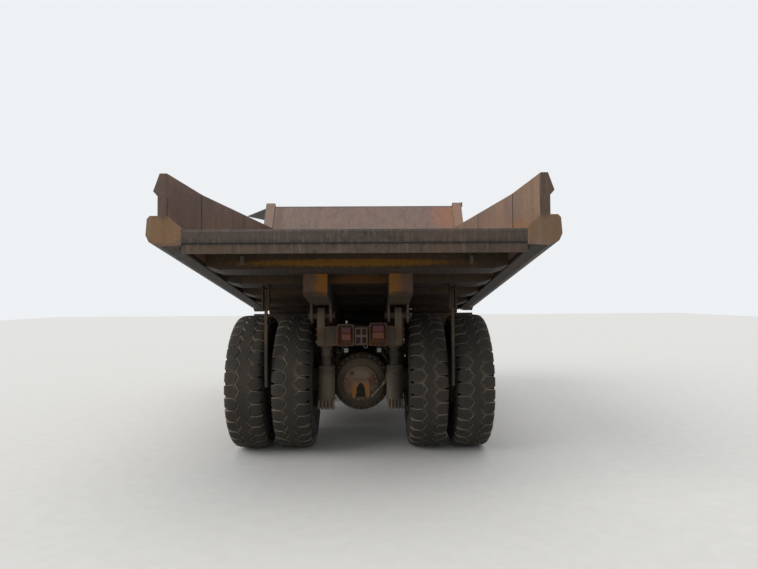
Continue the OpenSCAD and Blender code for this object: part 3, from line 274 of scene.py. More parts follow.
# %% Castings
COVER_Y = REAR_AXLE.y - 0.42
GUARD_Y = REAR_AXLE.y - 0.5
STRUT_X, STRUT_Y = 0.46, -1.94
axle_marks = [
    ((0, REAR_AXLE.y - 0.43, 0.98), (0.3, 0.12, 0.24), "#7d6656", 0.7, 1.2),
    ((0, GUARD_Y, 0.82), (0.2, 0.04, 0.16), "#8f5c1e", 0.9, 0.7),
    ((0, GUARD_Y, 0.99), (0.2, 0.04, 0.05), "#6f5038", 0.8, 0.8),
    ((-0.12, COVER_Y, 1.07), (0.035, 0.06, 0.03), "#33180f", 0.9, 0.5),
    ((0.17, COVER_Y, 0.98), (0.07, 0.1, 0.08), "#5e3220", 0.8, 1.4),
    ((-0.2, COVER_Y, 0.93), (0.08, 0.1, 0.08), "#6b4128", 0.6, 1.6),
    ((0, REAR_AXLE.y - 0.2, 0.6), (0.5, 0.5, 0.12), "#3b3128", 0.7),
]
strut_marks_and_shade = []
for z, height, tint in ((1.2, 0.16, "#3b342b"), (0.66, 0.07, "#7a6657")):
    for s in SIDES.values():
        ragged = 1.2 if z > 1 else 1.0
        strut_marks_and_shade.append(((s * STRUT_X, STRUT_Y, z), (0.2, 0.2, height), tint, 0.7, ragged))
# The right strut is painted darker than the left: painted shade
strut_marks_and_shade.append(((0.53, STRUT_Y, 1.0), (0.14, 0.3, 0.6), "#332e26", 0.8, 1.0))
axle_skin = ("#5b4f3f", "#4b3520", "#716551", 0.35, 0.6, 0.75)
strut_skin = ("#665c4b", "#54432f", "#7a6e5a", 0.4, 0.5, 0.7)
CAST_IRON = worn_enamel("cast_iron", "#2e2a26", "#46331f", "#5f5342", 0.4, 0.45)
AXLE_STEEL = worn_enamel("dusty_cast_steel", *axle_skin, axle_marks)
STRUT_STEEL = worn_enamel("dusty_strut_steel", *strut_skin, strut_marks_and_shade)
print("castings", CAST_IRON.name, AXLE_STEEL.name, STRUT_STEEL.name)

# %% [markdown]
# The lamp panel's boxes are orange under dust. Between them a dark red-brown plate shows behind a
# guard that has gone grey, and the two work lamps have black shells. The model has all of it as
# one mesh, and marks tell its parts from each other without cutting it up.

# %% Lamp panel
WORK_LAMPS_X = (-0.17, 0.245)
lamp_marks = [
    ((0.02, -2.36, 1.61), (0.1, 0.03, 0.15), "#34170f", 0.95, 0.3),
    ((0.02, -2.44, 1.61), (0.09, 0.03, 0.13), "#5c5348", 0.85, 0.9),
    ((0.31, -2.4, 1.52), (0.09, 0.2, 0.1), "#5b3219", 0.8),
    ((-0.27, -2.4, 1.55), (0.06, 0.2, 0.14), "#5d371b", 0.7),
]
for x in WORK_LAMPS_X:
    lamp_marks.append(((x, -2.4, 1.425), (0.07, 0.2, 0.062), "#1d1a17", 0.95, 0.2))
lamp_paint = ("#694219", "#32200f", "#524435", 0.6, 0.35, 0.6)
ORANGE = worn_enamel("orange_guard_enamel", *lamp_paint, lamp_marks)
print("lamp panel", ORANGE.name, "with", len(lamp_marks), "marks")

# %% [markdown]
# ### Wear plate
# The body is welded from quenched wear plate, 14 to 20 mm thick. The load scours the paint off in
# weeks, and the steel goes brown, with darker runs where water drains and grey scores where rock
# slid. The eye reads it as big flat sheets, so the large clouds are over half a metre and the bump
# is low. Scores are long noise, stretched along the height of the wall. Every face that looks down
# is darkened, partly by clinging mud and partly as painted shade.

# %% Plate recipe
SHEET_MM, GRAIN_MM, DENT_MM, SCORE_STRETCH = 900, 45, 330, 14
STAIN_MM = (110, 120, 900)


def wear_plate(
    name, base, warm, dark, grey="#8d877e", marks=(), score_mm=60, scored=0.2, mud_and_shade="#211a14"
):
    """Brown bare steel with stains, runs, grey scores, and mud and painted shade underneath."""
    material, tree, place = blank(name)
    wide = {"Vector": place, "Scale": per(SHEET_MM), "Detail": 4.0, "Roughness": 0.55}
    clouds = add(tree, "TexNoise", wide)
    fine = {"Vector": place, "Scale": per(GRAIN_MM), "Detail": 10.0, "Roughness": 0.75}
    grain = add(tree, "TexNoise", fine)
    upright = add(tree, "Mapping", {"Vector": place, "Scale": [per(mm) for mm in STAIN_MM]})
    runs = {"Vector": upright, "Scale": 1.0, "Detail": 6.0, "Roughness": 0.6}
    runs = add(tree, "TexNoise", runs)
    tall = (per(score_mm), per(score_mm), per(score_mm * SCORE_STRETCH))
    upright = add(tree, "Mapping", {"Vector": place, "Scale": tall})
    scores = {"Vector": upright, "Scale": 1.0, "Detail": 8.0, "Roughness": 0.7}
    scores = add(tree, "TexNoise", scores)
    # Two browns in sheets, then stains, freckles and the places that the marks name
    colour = layer(tree, rgb(base), clouds, 0.38, 0.66, warm)
    colour = layer(tree, colour, runs, 0.44, 0.75, dark, 0.5)
    colour = layer(tree, colour, grain, 0.5, 0.8, dark, 0.4)
    for settings in marks:
        colour = mark(tree, place, grain, colour, *settings)
    # Scores are grey on ridges and muddy in bottoms, and downward faces get mud and painted shade
    facing = add(tree, "SeparateXYZ", {0: add(tree, "TexCoord", {}, "Normal")}, "Z")
    colour = layer(tree, colour, scores, 0.52, 0.7, grey, scored)
    colour = layer(tree, colour, scores, 0.48, 0.3, mud_and_shade, scored)
    colour = layer(tree, colour, facing, -0.05, -0.5, mud_and_shade, 0.9)
    rough = add(tree, "MapRange", {0: grain, 1: 0.3, 2: 0.7, 3: 0.5, 4: 0.85})
    dents = add(tree, "TexNoise", {"Vector": place, "Scale": per(DENT_MM)})
    height = add(tree, "Math", {0: dents, 1: 1.5, 2: grain}, operation="MULTIPLY_ADD")
    relief = add(tree, "Bump", {"Height": height, "Strength": 0.3, "Distance": 0.008})
    shader = {"Base Color": colour, "Roughness": rough, "Normal": relief}
    add(tree, "OutputMaterial", {0: add(tree, "BsdfPrincipled", shader)})
    return material


print("plate has sheets of", SHEET_MM, "mm, dents of", DENT_MM, "mm and grain of", GRAIN_MM, "mm")

# %% [markdown]
# The two walls aren't alike: the left one is painted the darker brown, as painted shade. Both end
# at the tail in a corner block that the load has rubbed to ochre, and the edges of their tail
# posts are painted darker as shade, the right one more. The front wall has a pinkish bloom of
# fresh rust and one orange corner, and its two end posts stay paler. Ribs are dark, but the first
# still shows its yellow paint between its worn ends.

# %% Plates of the body
corner = [((s * 1.86, TAIL_Y, LIP_Z), (0.2, 0.25, 0.15), "#87653f", 0.75) for s in (-1, 1)]
rail_top = [((s * 1.9, -3.6, 3.3), (0.12, 0.6, 0.1), "#8a6b4e", 0.6) for s in (-1, 1)]
foot = [((s * 1.8, -0.4, 2.2), (0.1, 2.2, 0.25), "#43342a", 0.6) for s in (-1, 1)]
both = corner + rail_top + foot
left_side = [
    ((-1.8, -3.5, 3.1), (0.2, 0.45, 0.4), "#5e4136", 0.6, 1.5),
    ((-1.8, -2.3, 2.8), (0.2, 0.5, 0.25), "#7b5e43", 0.6, 1.5),
    # The left tail post's edge is painted darker: painted shade
    ((-1.85, -4.03, 3.1), (0.1, 0.05, 0.25), "#574538", 0.8, 0.5),
]
right_side = [
    ((1.8, -3.1, 2.86), (0.2, 0.5, 0.1), "#99683a", 0.65, 1.5),
    ((1.8, -2.0, 2.9), (0.2, 0.8, 0.25), "#8f7059", 0.6, 1.5),
    # The right tail post's edge is painted darker still: painted shade
    ((1.85, -4.03, 3.1), (0.1, 0.05, 0.25), "#43352a", 0.8, 0.5),
    ((1.9, -4.03, 2.75), (0.2, 0.05, 0.15), "#6b543f", 0.6, 0.8),
]
headboard_marks = [
    ((1.7, 1.4, 3.75), (0.35, 0.8, 0.3), "#96613c", 0.6, 2.0),
    ((-1.9, 1.6, 3.8), (0.085, 0.8, 0.9), "#83695a", 0.8, 0.3),
    ((1.9, 1.6, 3.8), (0.085, 0.8, 0.9), "#866a58", 0.8, 0.3),
    ((-1.7, 1.45, 3.6), (0.07, 0.8, 0.9), "#5d4a41", 0.6, 0.5),
]
rib_marks_and_shade = [
    ((-0.1, -3.22, 2.48), (1.25, 0.1, 0.045), "#a5731d", 0.9, 1.3),
    ((0, -3.2, 2.37), (0.9, 0.3, 0.04), "#6f523a", 0.7, 0.8),
    ((0, -2.39, 2.3), (0.36, 0.2, 0.1), "#8a5c22", 0.8, 0.8),
]
# The ejector bars are painted dark towards their lower ends, between the tyres: painted shade
for s in (-1, 1):
    rib_marks_and_shade.append(((s * 1.2, -2.2, 1.1), (0.1, 0.9, 0.42), "#211b16", 0.9, 0.6))

# The left wall's browns are darker than the right's, as painted shade
left_shaded_browns = ("#684f42", "#775a47", "#4a362c")
right_browns = ("#846857", "#94745a", "#5a4437")
front_browns = ("#705c55", "#786153", "#57453d")
canopy_greys = ("#625b55", "#6d6156", "#453f39")
rib_browns = ("#4a3a2b", "#5b472f", "#2d241c")
LEFT_SHADED_PLATE = wear_plate("left_wear_plate_shaded", *left_shaded_browns, marks=both + left_side)
RIGHT_PLATE = wear_plate("right_wear_plate", *right_browns, marks=both + right_side)
FRONT_PLATE = wear_plate("headboard_plate", *front_browns, marks=headboard_marks)
CANOPY_PLATE = wear_plate("canopy_plate", *canopy_greys, mud_and_shade="#1f1b18")
RIB_STEEL = wear_plate("rib_plate", *rib_browns, "#6a5f52", rib_marks_and_shade)
print("plates", [m.name for m in (LEFT_SHADED_PLATE, RIGHT_PLATE, FRONT_PLATE, CANOPY_PLATE, RIB_STEEL)])

# %% [markdown]
# The tail lip is one long casting that every load slides over, so its rounded nose is polished
# dark, with faint grey-brown scores. Below it is a plain brown plate. The two meet at the step in
# the form, so their colours part at that height.

# %% Tail plate
tail_marks = [
    ((0, TAIL_Y, LIP_Z - 0.06), (40, 0.05, 0.08), "#342b24", 0.85, 0.3),
    ((-1.0, TAIL_Y, LIP_Z - 0.06), (1.0, 0.05, 0.05), "#54463a", 0.5, 1.5),
    ((1.0, TAIL_Y, LIP_Z - 0.07), (0.6, 0.05, 0.05), "#5a4738", 0.5, 1.5),
    ((0, TAIL_Y, LIP_Z - 0.145), (40, 0.05, 0.02), "#2c231b", 0.7, 0.6),
    ((0, -1.7, 2.4), (1.7, 2.2, 0.6), "#716254", 0.6),
]
tail_browns = ("#49392c", "#57432f", "#2c231b")
TAIL_PLATE = wear_plate("tail_lip_plate", *tail_browns, "#6e6052", tail_marks, 28, 0.75)
print("tail plate", TAIL_PLATE.name, "scored every 28 mm")

# %% [markdown]
# ### Tyre rubber
# Rock tyres are natural rubber filled with carbon black. New they are near black and satin. Used
# ones turn matt brown-grey as dust works into the surface, palest in the grooves and on edges.
# Rubber has no sheen worth drawing, so its roughness is one high number, and its colour does the
# work.

# %% Rubber recipe
GRIT_MM, RUBBED_MM = 17, 250


def dusty_rubber(name, base, dust, share):
    """Matt rubber with dust rubbed in."""
    material, tree, place = blank(name)
    fine = {"Vector": place, "Scale": per(GRIT_MM), "Detail": 8.0, "Roughness": 0.7}
    grit = add(tree, "TexNoise", fine)
    clouds = add(tree, "TexNoise", {"Vector": place, "Scale": per(RUBBED_MM)})
    film = {0: clouds, 1: 0.3, 2: 0.75, 3: share * 0.4, 4: share * 1.4}
    film = add(tree, "MapRange", film, **SMOOTH)
    colour = add(tree, "Mix", {0: film, 6: rgb(base), 7: rgb(dust)}, 2, **COLOUR)
    colour = layer(tree, colour, grit, 0.55, 0.8, dust, 0.4)
    relief = add(tree, "Bump", {"Height": grit, "Strength": 0.4, "Distance": 0.004})
    shader = {"Base Color": colour, "Roughness": 0.88, "Normal": relief}
    add(tree, "OutputMaterial", {0: add(tree, "BsdfPrincipled", shader)})
    return material


TREAD = dusty_rubber("tread_rubber", "#29251f", "#4c4439", 0.28)
GROOVE = dusty_rubber("groove_dust_rubber", "#524b41", "#867d6c", 0.6)
SIDEWALL = dusty_rubber("sidewall_rubber", "#211f1c", "#554c40", 0.42)
print("rubbers", TREAD.name, GROOVE.name, SIDEWALL.name)

# %% [markdown]
# ### Small parts
# Moulded plastic, cloth, plated steel and glass differ mostly in gloss and in the size of their
# grain, so one short recipe makes them: two close colours mixed by a fine noise, and a low bump of
# the same noise. Lenses get a clear coat, which is what makes them look wet beside the dull steel.

# %% Fine-grained recipe
def fine_grain(name, base, other, mm, roughness, metallic=0.0, depth=0.002, **extra):
    """Two close colours and a low relief in grains of the given size."""
    material, tree, place = blank(name)
    fine = {"Vector": place, "Scale": per(mm), "Detail": 8.0, "Roughness": 0.65}
    grain = add(tree, "TexNoise", fine)
    colour = layer(tree, rgb(base), grain, 0.35, 0.7, other)
    relief = add(tree, "Bump", {"Height": grain, "Strength": 0.25, "Distance": depth})
    shader = {"Base Color": colour, "Normal": relief, "Roughness": roughness}
    shader |= {"Metallic": metallic} | extra
    add(tree, "OutputMaterial", {0: add(tree, "BsdfPrincipled", shader)})
    return material


# Grained ABS, black and a little dusty: soft broad highlights
BLACK_ABS = fine_grain("black_abs", "#1c1b1a", "#33302c", 11, 0.55)
# Woven polyester: no shine, a weave of 4 mm drawn coarse enough to show
SEAT_CLOTH = fine_grain("woven_polyester", "#2a2b2d", "#3f4043", 4, 0.95, depth=0.003)
# Hard chrome on the rods: bright, with a film of oil and dust
CHROME = fine_grain("hard_chrome", "#a9a59c", "#77706a", 25, 0.3, 1.0)
# Zinc-plated fasteners gone dull
ZINC = fine_grain("dull_zinc", "#7d7264", "#4c4134", 20, 0.6, 0.4)
# Steel pipe under mud
PIPE = fine_grain("muddy_pipe_steel", "#3a332b", "#5f5343", 33, 0.75)
# Weld metal: darker than the plate, with a slight sheen on its ripples
WELD = fine_grain("weld_metal", "#5a493b", "#33271e", 8, 0.55, 0.4, 0.004)
# Bare bright fittings, such as grease nipples
BRIGHT = fine_grain("bright_brass", "#c9bfa6", "#a3947a", 12, 0.4, 0.6)
# White enamelled knob
WHITE = fine_grain("white_enamel", "#d6d2c8", "#b5afa2", 15, 0.35)
# Silvered glass of the mirrors
SILVER = fine_grain("silvered_glass", "#b8bdc0", "#a9aeb1", 300, 0.04, 1.0, 0.0)
# Acrylic lenses, red, amber and clear
RED = fine_grain("red_acrylic", "#620a15", "#37070f", 17, 0.45, **{"Coat Weight": 0.08})
AMBER = fine_grain("amber_acrylic", "#7f400b", "#532907", 17, 0.45, **{"Coat Weight": 0.08})
CLEAR = fine_grain("clear_acrylic", "#b9b7ae", "#8f8c83", 13, 0.18, **{"Coat Weight": 0.6})
# Flat black for the painted shade in the drain's recess: no shine at all
SHADE_BLACK = fine_grain("painted_shade_black", "#211b15", "#14100c", 40, 0.98, depth=0.02)
print("small finishes", len(bpy.data.materials), "materials in all")

# %% [markdown]
# Cab glass is toughened soda-lime glass under a film of dust. It is thin, so it is made partly
# see-through instead of refracting, and the dust is what gives it colour.

# %% Cab glass
CAB_GLASS, tree, place = blank("dusty_cab_glass")
smear = add(tree, "TexNoise", {"Vector": place, "Scale": per(330)})
colour = layer(tree, rgb("#3a4548"), smear, 0.4, 0.8, "#8b8a80")
pane = {"Base Color": colour, "Roughness": 0.06, "IOR": 1.5, "Alpha": 0.35}
add(tree, "OutputMaterial", {0: add(tree, "BsdfPrincipled", pane)})
print("glass", CAB_GLASS.name)

# %% [markdown]
# ### Finishes on the model's own parts
# A node whose form is right keeps its mesh and only gets a better material in its slots. A list
# from names to finishes is easier to check than fifty assignments, and what it leaves out is cast
# iron.

# %% Materials in their slots
FINISH = {
    "frame": OLD_YELLOW,
    "headlamps": CLEAR,
    "cab_glass": CAB_GLASS,
    "door_glass": CAB_GLASS,
    "steering_column": BLACK_ABS,
    "rear_axle": AXLE_STEEL,
    "suspension_struts": STRUT_STEEL,
    "tail_lamps": ORANGE,
    "mirrors": BLACK_ABS,
    "tie_rod": STRUT_STEEL,
    "bed_floor": TAIL_PLATE,
    "bed_frame": BEAM_PAINT,
    "bed_ribs": RIB_STEEL,
    "bed_front_wall": FRONT_PLATE,
    "bed_canopy": CANOPY_PLATE,
    "bed_side_left": LEFT_SHADED_PLATE,
    "bed_side_right": RIGHT_PLATE,
}
CAB_PAINTED = "radiator_grille hood decks bumper ladders handrails"
CAB_PAINTED += " cab_shell cab_door side_tanks air_cleaners"
for painted in CAB_PAINTED.split():
    FINISH[painted] = CAB_YELLOW
for side in SIDES:
    FINISH |= {
        "front_rim_" + side: WHEEL_YELLOW,
        "rear_rims_" + side: REAR_YELLOW_GAP_SHADED,
        "steering_rod_" + side: CHROME,
        "hoist_barrel_" + side: WHEEL_YELLOW,
        "hoist_stage_" + side: CHROME,
        "hoist_rod_" + side: CHROME,
        "rock_ejector_" + side: RIB_STEEL,
    }
for name, node in frame["nodes"].items():
    for slot in node.material_slots:
        slot.material = FINISH.get(name, CAST_IRON)
print("finished", len(frame["nodes"]), "nodes")

# %% [markdown]
# ## How pieces are made
# Bolts, pipes and beads are all the same kind of form: a ring of points that is moved, turned and
# resized along a line, with faces between one ring and the next. Blender calls that a loft. Doing
# it in mesh code keeps a hundred bolts in one light mesh, which modifiers on a hundred objects
# wouldn't. Each piece then rides on one body of the model and carries its finishes as materials.

# %% A piece on a body
def piece(name, vertices, faces, places, body, materials, slot, smooth):
    """A mesh piece that rides on a body. places gives each face's material."""
    mesh = bpy.data.meshes.new(name)
    mesh.from_pydata([tuple(v) for v in vertices], [], faces)
    mesh.update()
    made = bpy.data.objects.new(name, mesh)
    bpy.context.collection.objects.link(made)
    for material in materials if isinstance(materials, list) else [materials]:
        made.data.materials.append(material)
    made.data.polygons.foreach_set("material_index", places)
    if smooth:
        made.data.shade_smooth()
    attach(made, body)
    print(name, sum(len(p.vertices) - 2 for p in mesh.polygons), "triangles on", body)
    return made


# %% [markdown]
# A Build keeps the points, the faces and each face's material while forms are added to it, and its
# last call makes the piece. Most pieces come in pairs, so one call also makes a mirror image for
# the left. A mirror modifier would keep both halves in one piece, and then on one body.

# %% Collecting forms
class Build:
    """Collects many small forms into one mesh. place is the material of what comes next."""

    def __init__(self):
        self.vertices, self.faces, self.places, self.place = [], [], [], 0

    def put(self, vertices, faces, places=None):
        """Adds a form, and the material of each of its faces."""
        first = len(self.vertices)
        self.vertices += [Vector(v) for v in vertices]
        self.faces += [tuple(first + i for i in f) for f in faces]
        self.places += places or [self.place] * len(faces)

    def loft(self, rings, closed=True, places=None):
        """Joins rings of equal length, and caps both ends. places gives each strip's material."""
        count = len(rings[0])
        faces, kinds = [], []
        for r in range(len(rings) - 1):
            near, far = r * count, (r + 1) * count
            for i in range(count if closed else count - 1):
                j = (i + 1) % count
                faces.append((near + i, near + j, far + j, far + i))
                kinds.append(places[i] if places else self.place)
        if closed:
            faces.append(tuple(reversed(range(count))))
            faces.append(tuple(range((len(rings) - 1) * count, len(rings) * count)))
            kinds += [places[-1] if places else self.place] * 2
        self.put([v for ring in rings for v in ring], faces, kinds)

    def made(self, name, body, material, slot, smooth=False):
        """The piece, on one body."""
        form = (self.vertices, self.faces, self.places)
        return piece(name, *form, body, material, slot, smooth)

    def mirrored(self, name, body, material, slot, smooth=False):
        """The piece on the right, and its mirror image on the left."""
        for side, sign in SIDES.items():
            points = [Vector((v.x * sign, v.y, v.z)) for v in self.vertices]
            faces = self.faces if sign > 0 else [tuple(reversed(f)) for f in self.faces]
            form = (points, faces, self.places)
            piece(name + "_" + side, *form, body.replace("SIDE", side), material, slot, smooth)


print("a build starts with", len(Build().faces), "faces")

# %% [markdown]
# ## Tyres
# A rock tyre has blocks on both shoulders, parted by narrow grooves, and a zigzag rib between them.
# Each block has five sides: it comes to a point at the rib. The model's own tyre has the right
# section and its wide shoulder grooves. Bump can't give the blocks their hard edges against the
# light, so they are real geometry. A point on the tread is given by two lengths, across the
# section and round the wheel, which is how a tyre maker draws a tread, flat.

# %% The section and the pitch
TYRE_R = REAR_AXLE.z
# Half the distance between the middles of twin tyres
DUAL = 0.3
# Half the section of the tread, as (across, how far it drops), and then as (across, radius)
CROWN = [(0, 0), (0.08, 0.001), (0.15, 0.005), (0.19, 0.012), (0.214, 0.024), (0.231, 0.042)]
CROWN = [(x, TYRE_R - drop) for x, drop in CROWN + [(0.241, 0.066), (0.247, 0.1), (0.25, 0.15)]]
PITCHES = 34
PITCH = 2 * math.pi * TYRE_R / PITCHES


def on_section(u):
    """The point and outward normal at length u from the middle of the crown."""
    for (x0, r0), (x1, r1) in zip(CROWN, CROWN[1:]):
        across, down = x1 - x0, r1 - r0
        length = math.hypot(across, down)
        if u <= length or (x1, r1) == CROWN[-1]:
            share = u / length
            return x0 + across * share, r0 + down * share, -down / length, across / length
        u -= length


def on_tyre(u, t, depth, sign=1):
    """A point on the tread: u across from the middle, t round, depth below the surface."""
    x, r, nx, nr = on_section(abs(u))
    x, r = x - nx * depth, r - nr * depth
    angle = t / TYRE_R
    return Vector((math.copysign(x, u) * sign, -r * math.cos(angle), r * math.sin(angle)))


print("pitch of the blocks", round(PITCH * 1000), "mm")

# %% [markdown]
# A block is lofted across the tyre from its tip to the shoulder. Each ring goes down one groove
# wall, over the top and down the other, and its upper corners are broken by a 6 mm chamfer that
# catches dust. One block could be repeated by an array modifier, but the two shoulders are half a
# pitch apart and the grooves open and deepen on their way out, which a formula says more simply.

# %% Shoulder blocks
GAP, OPENING = 0.018, 0.026
DEPTH, DEEPENING = 0.026, 0.016
EDGE = 0.006
TIP_U, SIDE_U, TURN_U, END_U = 0.058, 0.112, 0.185, 0.3
TURN_LONG = 0.06
# Lengths across the section at which a block's outline is drawn
STATIONS = [TIP_U, 0.085, SIDE_U, 0.15, TURN_U, 0.2, 0.215, 0.23, 0.245, 0.265, END_U]
# How far the foot of a block is buried in the carcass
SUNK = 0.004


def past_shoulder(u):
    """0 on the crown, 1 where the tread has turned down into the side."""
    return min(1, max(0, (abs(u) - TURN_U) / TURN_LONG))


def gap_at(u):
    """Width of the groove between two blocks, which opens at the shoulder."""
    return GAP + OPENING * past_shoulder(u)


def depth_at(u):
    """Depth of that groove, which is cut deeper at the shoulder."""
    return DEPTH + DEEPENING * past_shoulder(u)


def shoulder_blocks(build, centre):
    """The blocks of both shoulders. Their feet sink a little into the carcass."""
    for sign in (-1, 1):
        for i in range(PITCHES):
            t0 = (i + (0.5 if sign > 0 else 0)) * PITCH
            rings = []
            for u in STATIONS:
                half = (PITCH - gap_at(u)) / 2 * min(1, max(0.03, (u - TIP_U) / (SIDE_U - TIP_U)))
                edge = min(EDGE, half * 0.3)
                low = SUNK if u in (TIP_U, END_U) else 0
                ring = [(-half - SUNK, depth_at(u) + SUNK), (-half, edge + low), (edge - half, low)]
                ring += [(-t, depth) for t, depth in reversed(ring)]
                points = [centre + on_tyre(u, t0 + t, depth, sign) for t, depth in ring]
                rings.append(points if sign > 0 else points[::-1])
            build.loft(rings, places=[1, 1, 0, 1, 1, 1])


print("grooves open from", round(gap_at(0) * 1000), "to", round(gap_at(END_U) * 1000), "mm")

# %% [markdown]
# The rib between the shoulders is a closed loft round the wheel, whose edges swing from side to
# side so that they follow the blocks' points. Under both lies the carcass at the depth of the
# grooves. It is a turned form, as every plain part of a tyre is.

# %% Rib and carcass
STEPS_A_PITCH = 4
RIB_SUNK = 0.003


def zigzag_rib(build, centre):
    """The rib that runs round the middle."""
    rings = []
    for i in range(PITCHES * STEPS_A_PITCH):
        edges = []
        for offset in (0, 0.5):
            away = abs(((i / STEPS_A_PITCH - offset + 0.5) % 1) - 0.5) * 2
            edges.append(TIP_U - GAP + (SIDE_U - TIP_U) * away * 0.9)
        left, right = edges
        ring = [(-left - RIB_SUNK, DEPTH + SUNK), (-left, EDGE), (-left + EDGE, 0)]
        ring += [(right - EDGE, 0), (right, EDGE), (right + RIB_SUNK, DEPTH + SUNK)]
        rings.append([centre + on_tyre(u, i * PITCH / STEPS_A_PITCH, depth) for u, depth in ring])
    build.loft(rings + rings[:1], closed=False, places=[1, 1, 0, 1, 1])


def turned(build, profile, centre, sides=80):
    """Turns a line of (x, radius) points about the axle."""
    rings = []
    for i in range(sides + 1):
        a = 2 * math.pi * (i % sides) / sides
        rings.append([centre + Vector((x, -r * math.cos(a), r * math.sin(a))) for x, r in profile])
    build.loft(rings, closed=False)


print("the rib turns at", PITCHES * STEPS_A_PITCH, "places round the wheel")

# %% [markdown]
# Below the shoulder the sidewall bulges, with a moulded ring and a flange that guards the rim. Its
# section is drawn from outside in and turned. Short bars stand on it under every block and every
# groove, as the mould leaves them, and they catch the light where bump would look painted.

# %% Sidewalls
SIDE_SECTION = [(0.236, 0.80), (0.245, 0.775), (0.2465, 0.742), (0.2505, 0.738), (0.2505, 0.728)]
SIDE_SECTION += [(0.247, 0.724), (0.249, 0.69), (0.25, 0.66), (0.2495, 0.608), (0.253, 0.604)]
SIDE_SECTION += [(0.253, 0.592), (0.2485, 0.588), (0.242, 0.53), (0.245, 0.526), (0.2445, 0.516)]
SIDE_SECTION += [(0.239, 0.512), (0.232, 0.48), (0.236, 0.47), (0.234, 0.455), (0.224, 0.445)]
SIDE_SECTION += [(0.20, 0.425)]
BAR_ENDS = [(0.75, 0.246), (0.79, 0.2405)]


def moulded_bars(build, centre):
    """Short raised bars on both sidewalls."""
    for sign in (-1, 1):
        for i in range(PITCHES * 2):
            middle = 2 * math.pi * (i + 0.25) / (PITCHES * 2)
            half = 0.026 if i % 2 else 0.014
            rings = []
            for rise, inset in ((-0.003, 0), (0.004, 0.003)):
                ring = []
                for (r, x), way in zip(BAR_ENDS, (1, -1)):
                    r += way * inset
                    for t in (-half * way, half * way):
                        a = middle + (t - math.copysign(inset, t)) / r
                        spot = (sign * (x + rise), -r * math.cos(a), r * math.sin(a))
                        ring.append(centre + Vector(spot))
                rings.append(ring if sign < 0 else ring[::-1])
            build.loft(rings)


print("sidewall from", SIDE_SECTION[0][1], "down to", SIDE_SECTION[-1][1], "m")

# %% [markdown]
# All the tyres that turn together are one piece, which takes the place of the model's plain tyre.
# Three rubbers share the mesh: clean tops, dusty groove walls and darker sides. Walls and sides
# are shaded smooth, while the tops of the blocks stay flat.

# %% Whole tyres on their wheels
def set_tyres(name, body, node, middles, axle):
    """One piece with all the tyres that turn together, in place of the model's."""
    build = Build()
    across = [END_U - 0.004, 0.25, 0.2, 0.15, 0.1, 0.05]
    groove = []
    for u in [-u for u in across] + [0] + across[::-1]:
        x, r, nx, nr = on_section(abs(u))
        groove.append((math.copysign(x - nx * depth_at(u), u), r - nr * depth_at(u)))
    mirrored = [(-x, r) for x, r in reversed(SIDE_SECTION)]
    for middle in middles:
        centre = Vector((middle, axle.y, axle.z))
        shoulder_blocks(build, centre)
        zigzag_rib(build, centre)
        build.place = 1
        turned(build, groove[3:-3], centre)
        build.place = 2
        for section in (groove[:4], groove[-4:], SIDE_SECTION, mirrored):
            turned(build, section, centre)
        build.place = 0
        moulded_bars(build, centre)
    made = build.made(name, body, [TREAD, GROOVE, SIDEWALL], "tyre")
    for polygon in made.data.polygons:
        polygon.use_smooth = polygon.material_index > 0 and len(polygon.vertices) == 4
    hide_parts(node)


for side, sign in SIDES.items():
    single = [sign * FRONT_AXLE.x]
    twins = [sign * (REAR_AXLE.x - DUAL), sign * (REAR_AXLE.x + DUAL)]
    front, rear = "front_wheel_" + side, "rear_wheels_" + side
    set_tyres("treaded_front_tyre_" + side, front, "front_tyre_" + side, single, FRONT_AXLE)
    set_tyres("treaded_rear_tyres_" + side, rear, "rear_tyres_" + side, twins, REAR_AXLE)

# %% [markdown]
# ## Wheels
# Each rim is held by a ring of nuts. From behind they hide in the tyres' shade, but from the side
# they are what makes a disc a wheel. A bolt head is two short round bars, the washer and the
# hexagon, and a bar is a circle that is lofted along a line, so four small helpers build on each
# other.


# %% Round bars and bolts
def circle(middle, axis, radius, sides):
    """Points round a middle, square to an axis."""
    across = axis.orthogonal().normalized()
    other = axis.normalized().cross(across)
    turns = [2 * math.pi * i / sides for i in range(sides)]
    return [middle + (across * math.cos(t) + other * math.sin(t)) * radius for t in turns]


def lathe(build, start, axis, profile, sides):
    """Turns points of (distance along, radius) about an axis."""
    start, axis = Vector(start), Vector(axis).normalized()
    build.loft([circle(start + axis * a, axis, r, sides) for a, r in profile])


def rod(build, start, end, radius, sides=12):
    """A round bar with softened ends."""
    length = (Vector(end) - Vector(start)).length
    soft = min(radius * 0.2, length / 3)
    ends = [(0, radius - soft), (soft, radius), (length - soft, radius), (length, radius - soft)]
    lathe(build, start, Vector(end) - Vector(start), ends, sides)


def bolt(build, place, axis, radius, height):
    """A hexagon head with a washer under it."""
    place, axis = Vector(place), Vector(axis).normalized()
    rod(build, place, place + axis * height * 0.25, radius * 1.35, 10)
    rod(build, place + axis * height * 0.2, place + axis * height, radius, 6)


UP = (0, 0, 1)
sample = Build()
bolt(sample, (0, 0, 0), UP, 0.012, 0.01)
print("a bolt has", len(sample.faces), "faces")

# %% [markdown]
# A tyre valve comes out beside the disc as a thin bent pipe. Blender's curve objects could make
# it, and so could a loft that follows a line of points, which stays in the same mesh as the nuts.


# %% Smooth lines and pipes
CURVE_STEPS = 6


def curve(points):
    """Points along a smooth line through the given ones."""
    points = [Vector(p) for p in points]
    full = [points[0]] + points + [points[-1]]
    line = []
    for a, b, c, d in zip(full, full[1:], full[2:], full[3:]):
        for t in [s / CURVE_STEPS for s in range(CURVE_STEPS)]:
            bend = (2 * a - 5 * b + 4 * c - d) * t * t + (3 * b - a - 3 * c + d) * t**3
            line.append(0.5 * (2 * b + (c - a) * t + bend))
    return line + [points[-1]]


